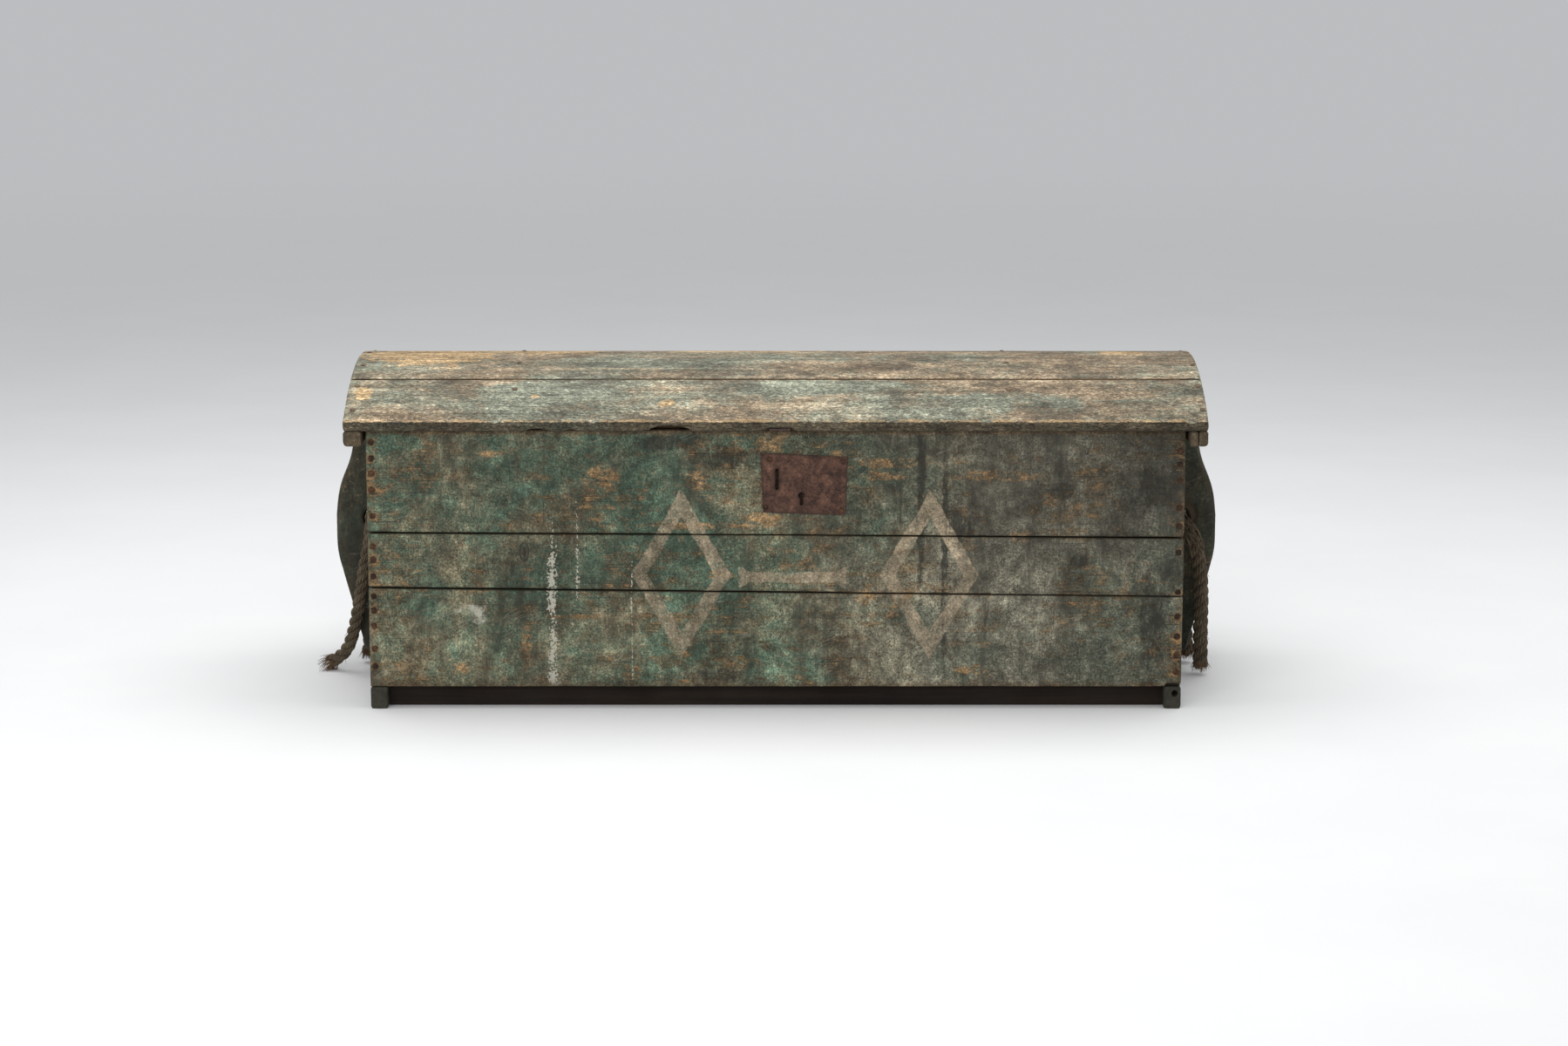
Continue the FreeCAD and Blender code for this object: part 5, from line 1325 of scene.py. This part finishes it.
def fray(name, line, diameter, rng, longest):
    """Loose fibres: a tuft at the rope's end and hairs along it."""
    frames = frames_along(line)
    lines = []
    _, end, side, other = frames[-1]
    ahead = (line[-1] - line[-3]).normalized()
    for _ in range(TUFT_FIBRES):
        turn = rng.uniform(0, math.tau)
        out = rng.uniform(0, diameter * 0.46)
        spread = around(side, other, turn)
        start = end + spread * out - ahead * 0.008
        way = (ahead * rng.uniform(0.5, 1.0) + spread * rng.uniform(0.0, 0.6)).normalized()
        hair = fibre(start, way, rng.uniform(longest * 0.4, longest), 0.3)
        lines.append([(Vector((p.x, p.y, max(p.z, FIBRE_LOWEST))), r * 1.5) for p, r in hair])
    for _ in range(SIDE_FIBRES):
        _, point, side, other = rng.choice(frames[8:-8])
        spread = around(side, other, rng.uniform(0, math.tau))
        way = (spread * rng.uniform(0.2, 0.8) + Vector((0, 0, -1)) * rng.uniform(0.3, 1.0)).normalized()
        lines.append(fibre(point + spread * diameter * 0.44, way, rng.uniform(0.003, 0.009), 0.2))
    return tubes(name, lines, FIBRE_THICK, 0)


def loose_yarns(name, line, diameter, rng):
    """Yarns that have come out of their lay where the rope leaves its hole."""
    frames = frames_along(line)
    lines = []
    for _ in range(LOOSE_YARNS):
        start = rng.uniform(0.026, 0.06)
        long = rng.uniform(0.02, 0.05)
        turn = rng.uniform(0, math.tau)
        twist = rng.uniform(-0.9, 0.9)
        lift = rng.uniform(0.5, 0.68)
        yarn = []
        for gone, point, side, other in frames:
            part = (gone - start) / long
            if not 0.0 <= part <= 1.0:
                continue
            out = diameter * (0.42 + (lift - 0.42) * math.sin(math.pi * part) ** 0.5)
            yarn.append((point + around(side, other, turn + twist * part * 2) * out, 1.0 - 0.5 * part))
        if len(yarn) > 2:
            lines.append(yarn)
    return tubes(name, lines, LOOSE_YARN_THICK, 1)


def packing(name, side):
    """Small cord wound round the rope where it goes through its cleat, which fills the hole."""
    x, y, z = HOLE
    step = PACKING_LONG / PACKING_STEPS
    axis = [Vector((x * side, y + step * i, z)) for i in range(PACKING_STEPS + 1)]
    turns = [(point, 1.0) for point in helix(axis, PACKING_OUT, PACKING_LAY, 0.0)]
    return tubes(name, [turns], PACKING_THICK, 1)


class CHEST_OT_ropes(bpy.types.Operator):
    """Lay the four rope tails of three strands, with their frayed ends"""

    bl_idname = "chest.ropes"
    bl_label = "Rope tails"

    def execute(self, context):
        sizes = context.scene.chest_sizes
        c = context.scene.chest_colours
        rng = random.Random(11)
        laid = rope_fibre("Rope fibre", c.rope, rope_colour(c.rope, 0.35))
        loose = rope_fibre("Frayed fibre", c.fray, rope_colour(c.fray, 0.5))
        for name, route in ROPES.items():
            long, thick = ROPE_FACTS[name]
            line = rope_line(name, route)
            rope = tubes(f"{name}_laid", *yarn_lines(line, thick, sizes.rope_lay), 1)
            dress(rope, laid)
            tuft = fray(f"{name}_fray", line, thick, rng, TUFT_LONGEST.get(name, TUFT_USUAL))
            dress(tuft, loose)
            extras = [tuft]
            if name.endswith("front"):
                extras.append(packing(f"{name}_packing", math.copysign(1, route[0][0])))
            if name == "rope_right_front":
                extras.append(loose_yarns(f"{name}_yarns", line, thick, rng))
            for extra in extras[1:]:
                dress(extra, laid)
            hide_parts(name)
            for piece in (rope, *extras):
                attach(piece, BODY_OF[name])
        return {"FINISHED"}


# Each lamp as its name, place, size, and the setting that holds its power; all look at one point
LAMPS = (
    ("Key lamp", (-0.9, -3.8, 1.9), (3.2, 2.0), "key"),
    ("Top lamp", (0.0, 0.3, 2.9), (3.4, 2.2), "top"),
    ("Left lamp", (-3.4, -0.6, 1.5), (1.6, 1.6), "side"),
    ("Right lamp", (3.4, -0.6, 1.5), (1.6, 1.6), "side"),
)
LAMPS_LOOK_AT = Vector((0.0, 0.0, 0.25))


class CHEST_OT_stage(bpy.types.Operator):
    """Set the pale floor, the soft lamps and the camera"""

    bl_idname = "chest.stage"
    bl_label = "Floor, lamps and camera"

    def lamp(self, context, name, place, size, power):
        light = bpy.data.lights.new(name, "AREA")
        light.shape = "RECTANGLE"
        light.size, light.size_y = size
        light.energy = power
        thing = bpy.data.objects.new(name, light)
        thing.location = place
        towards = LAMPS_LOOK_AT - Vector(place)
        thing.rotation_euler = towards.to_track_quat("-Z", "Y").to_euler()
        context.scene.collection.objects.link(thing)

    def execute(self, context):
        stage = context.scene.chest_stage
        scene = context.scene
        scene.view_settings.view_transform = "Standard"
        bm = bmesh.new()
        bmesh.ops.create_grid(bm, x_segments=1, y_segments=1, size=stage.floor_side / 2)
        mesh = bpy.data.meshes.new("floor")
        bm.to_mesh(mesh)
        bm.free()
        floor = bpy.data.objects.new("floor", mesh)
        scene.collection.objects.link(floor)
        dress(floor, pale_floor(scene.chest_colours))

        world = bpy.data.worlds.new("Studio")
        world.use_nodes = True
        world.node_tree.nodes.clear()
        w = Wiring(world.node_tree)
        rays = w.node("ShaderNodeLightPath").outputs
        lit = w.node("ShaderNodeBackground", {"Color": (0.97, 0.985, 1.0, 1.0), "Strength": stage.sky})
        seen = w.node("ShaderNodeBackground", {"Color": scene.chest_colours.haze, "Strength": 1.0})
        show = w.either(rays["Is Camera Ray"], rays["Is Glossy Ray"])
        both = w.node("ShaderNodeMixShader", {0: show, 1: lit.outputs[0], 2: seen.outputs[0]})
        w.node("ShaderNodeOutputWorld", {"Surface": both.outputs[0]})
        scene.world = world
        for name, place, size, setting in LAMPS:
            self.lamp(context, name, place, size, getattr(stage, setting))

        camera = bpy.data.cameras.new("Camera")
        camera.lens = stage.lens
        camera.sensor_width = 36.0
        camera.clip_end = 200.0
        thing = bpy.data.objects.new("Camera", camera)
        thing.location = (stage.camera_x, -stage.camera_back, stage.camera_up)
        thing.rotation_euler = (math.pi / 2 - stage.camera_tilt, 0.0, 0.0)
        scene.collection.objects.link(thing)
        scene.camera = thing
        return {"FINISHED"}


class CHEST_PT_panel(bpy.types.Panel):
    """The chest's steps, in the order in which they run"""

    bl_idname = "CHEST_PT_panel"
    bl_label = "Storage chest"
    bl_space_type = "VIEW_3D"
    bl_region_type = "UI"
    bl_category = "Chest"

    def draw(self, context):
        for step in STEPS:
            self.layout.operator(step.bl_idname)
        for group in (context.scene.chest_colours, context.scene.chest_sizes, context.scene.chest_stage):
            column = self.layout.column()
            for name in group.bl_rna.properties.keys():
                if name not in ("rna_type", "name"):
                    column.prop(group, name)


STEPS = (
    CHEST_OT_stage, CHEST_OT_ropes, CHEST_OT_front, CHEST_OT_sides, CHEST_OT_lid, CHEST_OT_footing,
    CHEST_OT_ironwork, CHEST_OT_inside,
)
GROUPS = {"chest_colours": ChestColours, "chest_sizes": ChestSizes, "chest_stage": ChestStage}


def register():
    for cls in (*GROUPS.values(), *STEPS, CHEST_PT_panel):
        bpy.utils.register_class(cls)
    for name, cls in GROUPS.items():
        setattr(bpy.types.Scene, name, bpy.props.PointerProperty(type=cls))


def unregister():
    for name in GROUPS:
        delattr(bpy.types.Scene, name)
    for cls in reversed((*GROUPS.values(), *STEPS, CHEST_PT_panel)):
        bpy.utils.unregister_class(cls)


def main():
    register()
    for step in STEPS:
        space, name = step.bl_idname.split(".")
        getattr(getattr(bpy.ops, space), name)()


if __name__ == "__main__":
    main()
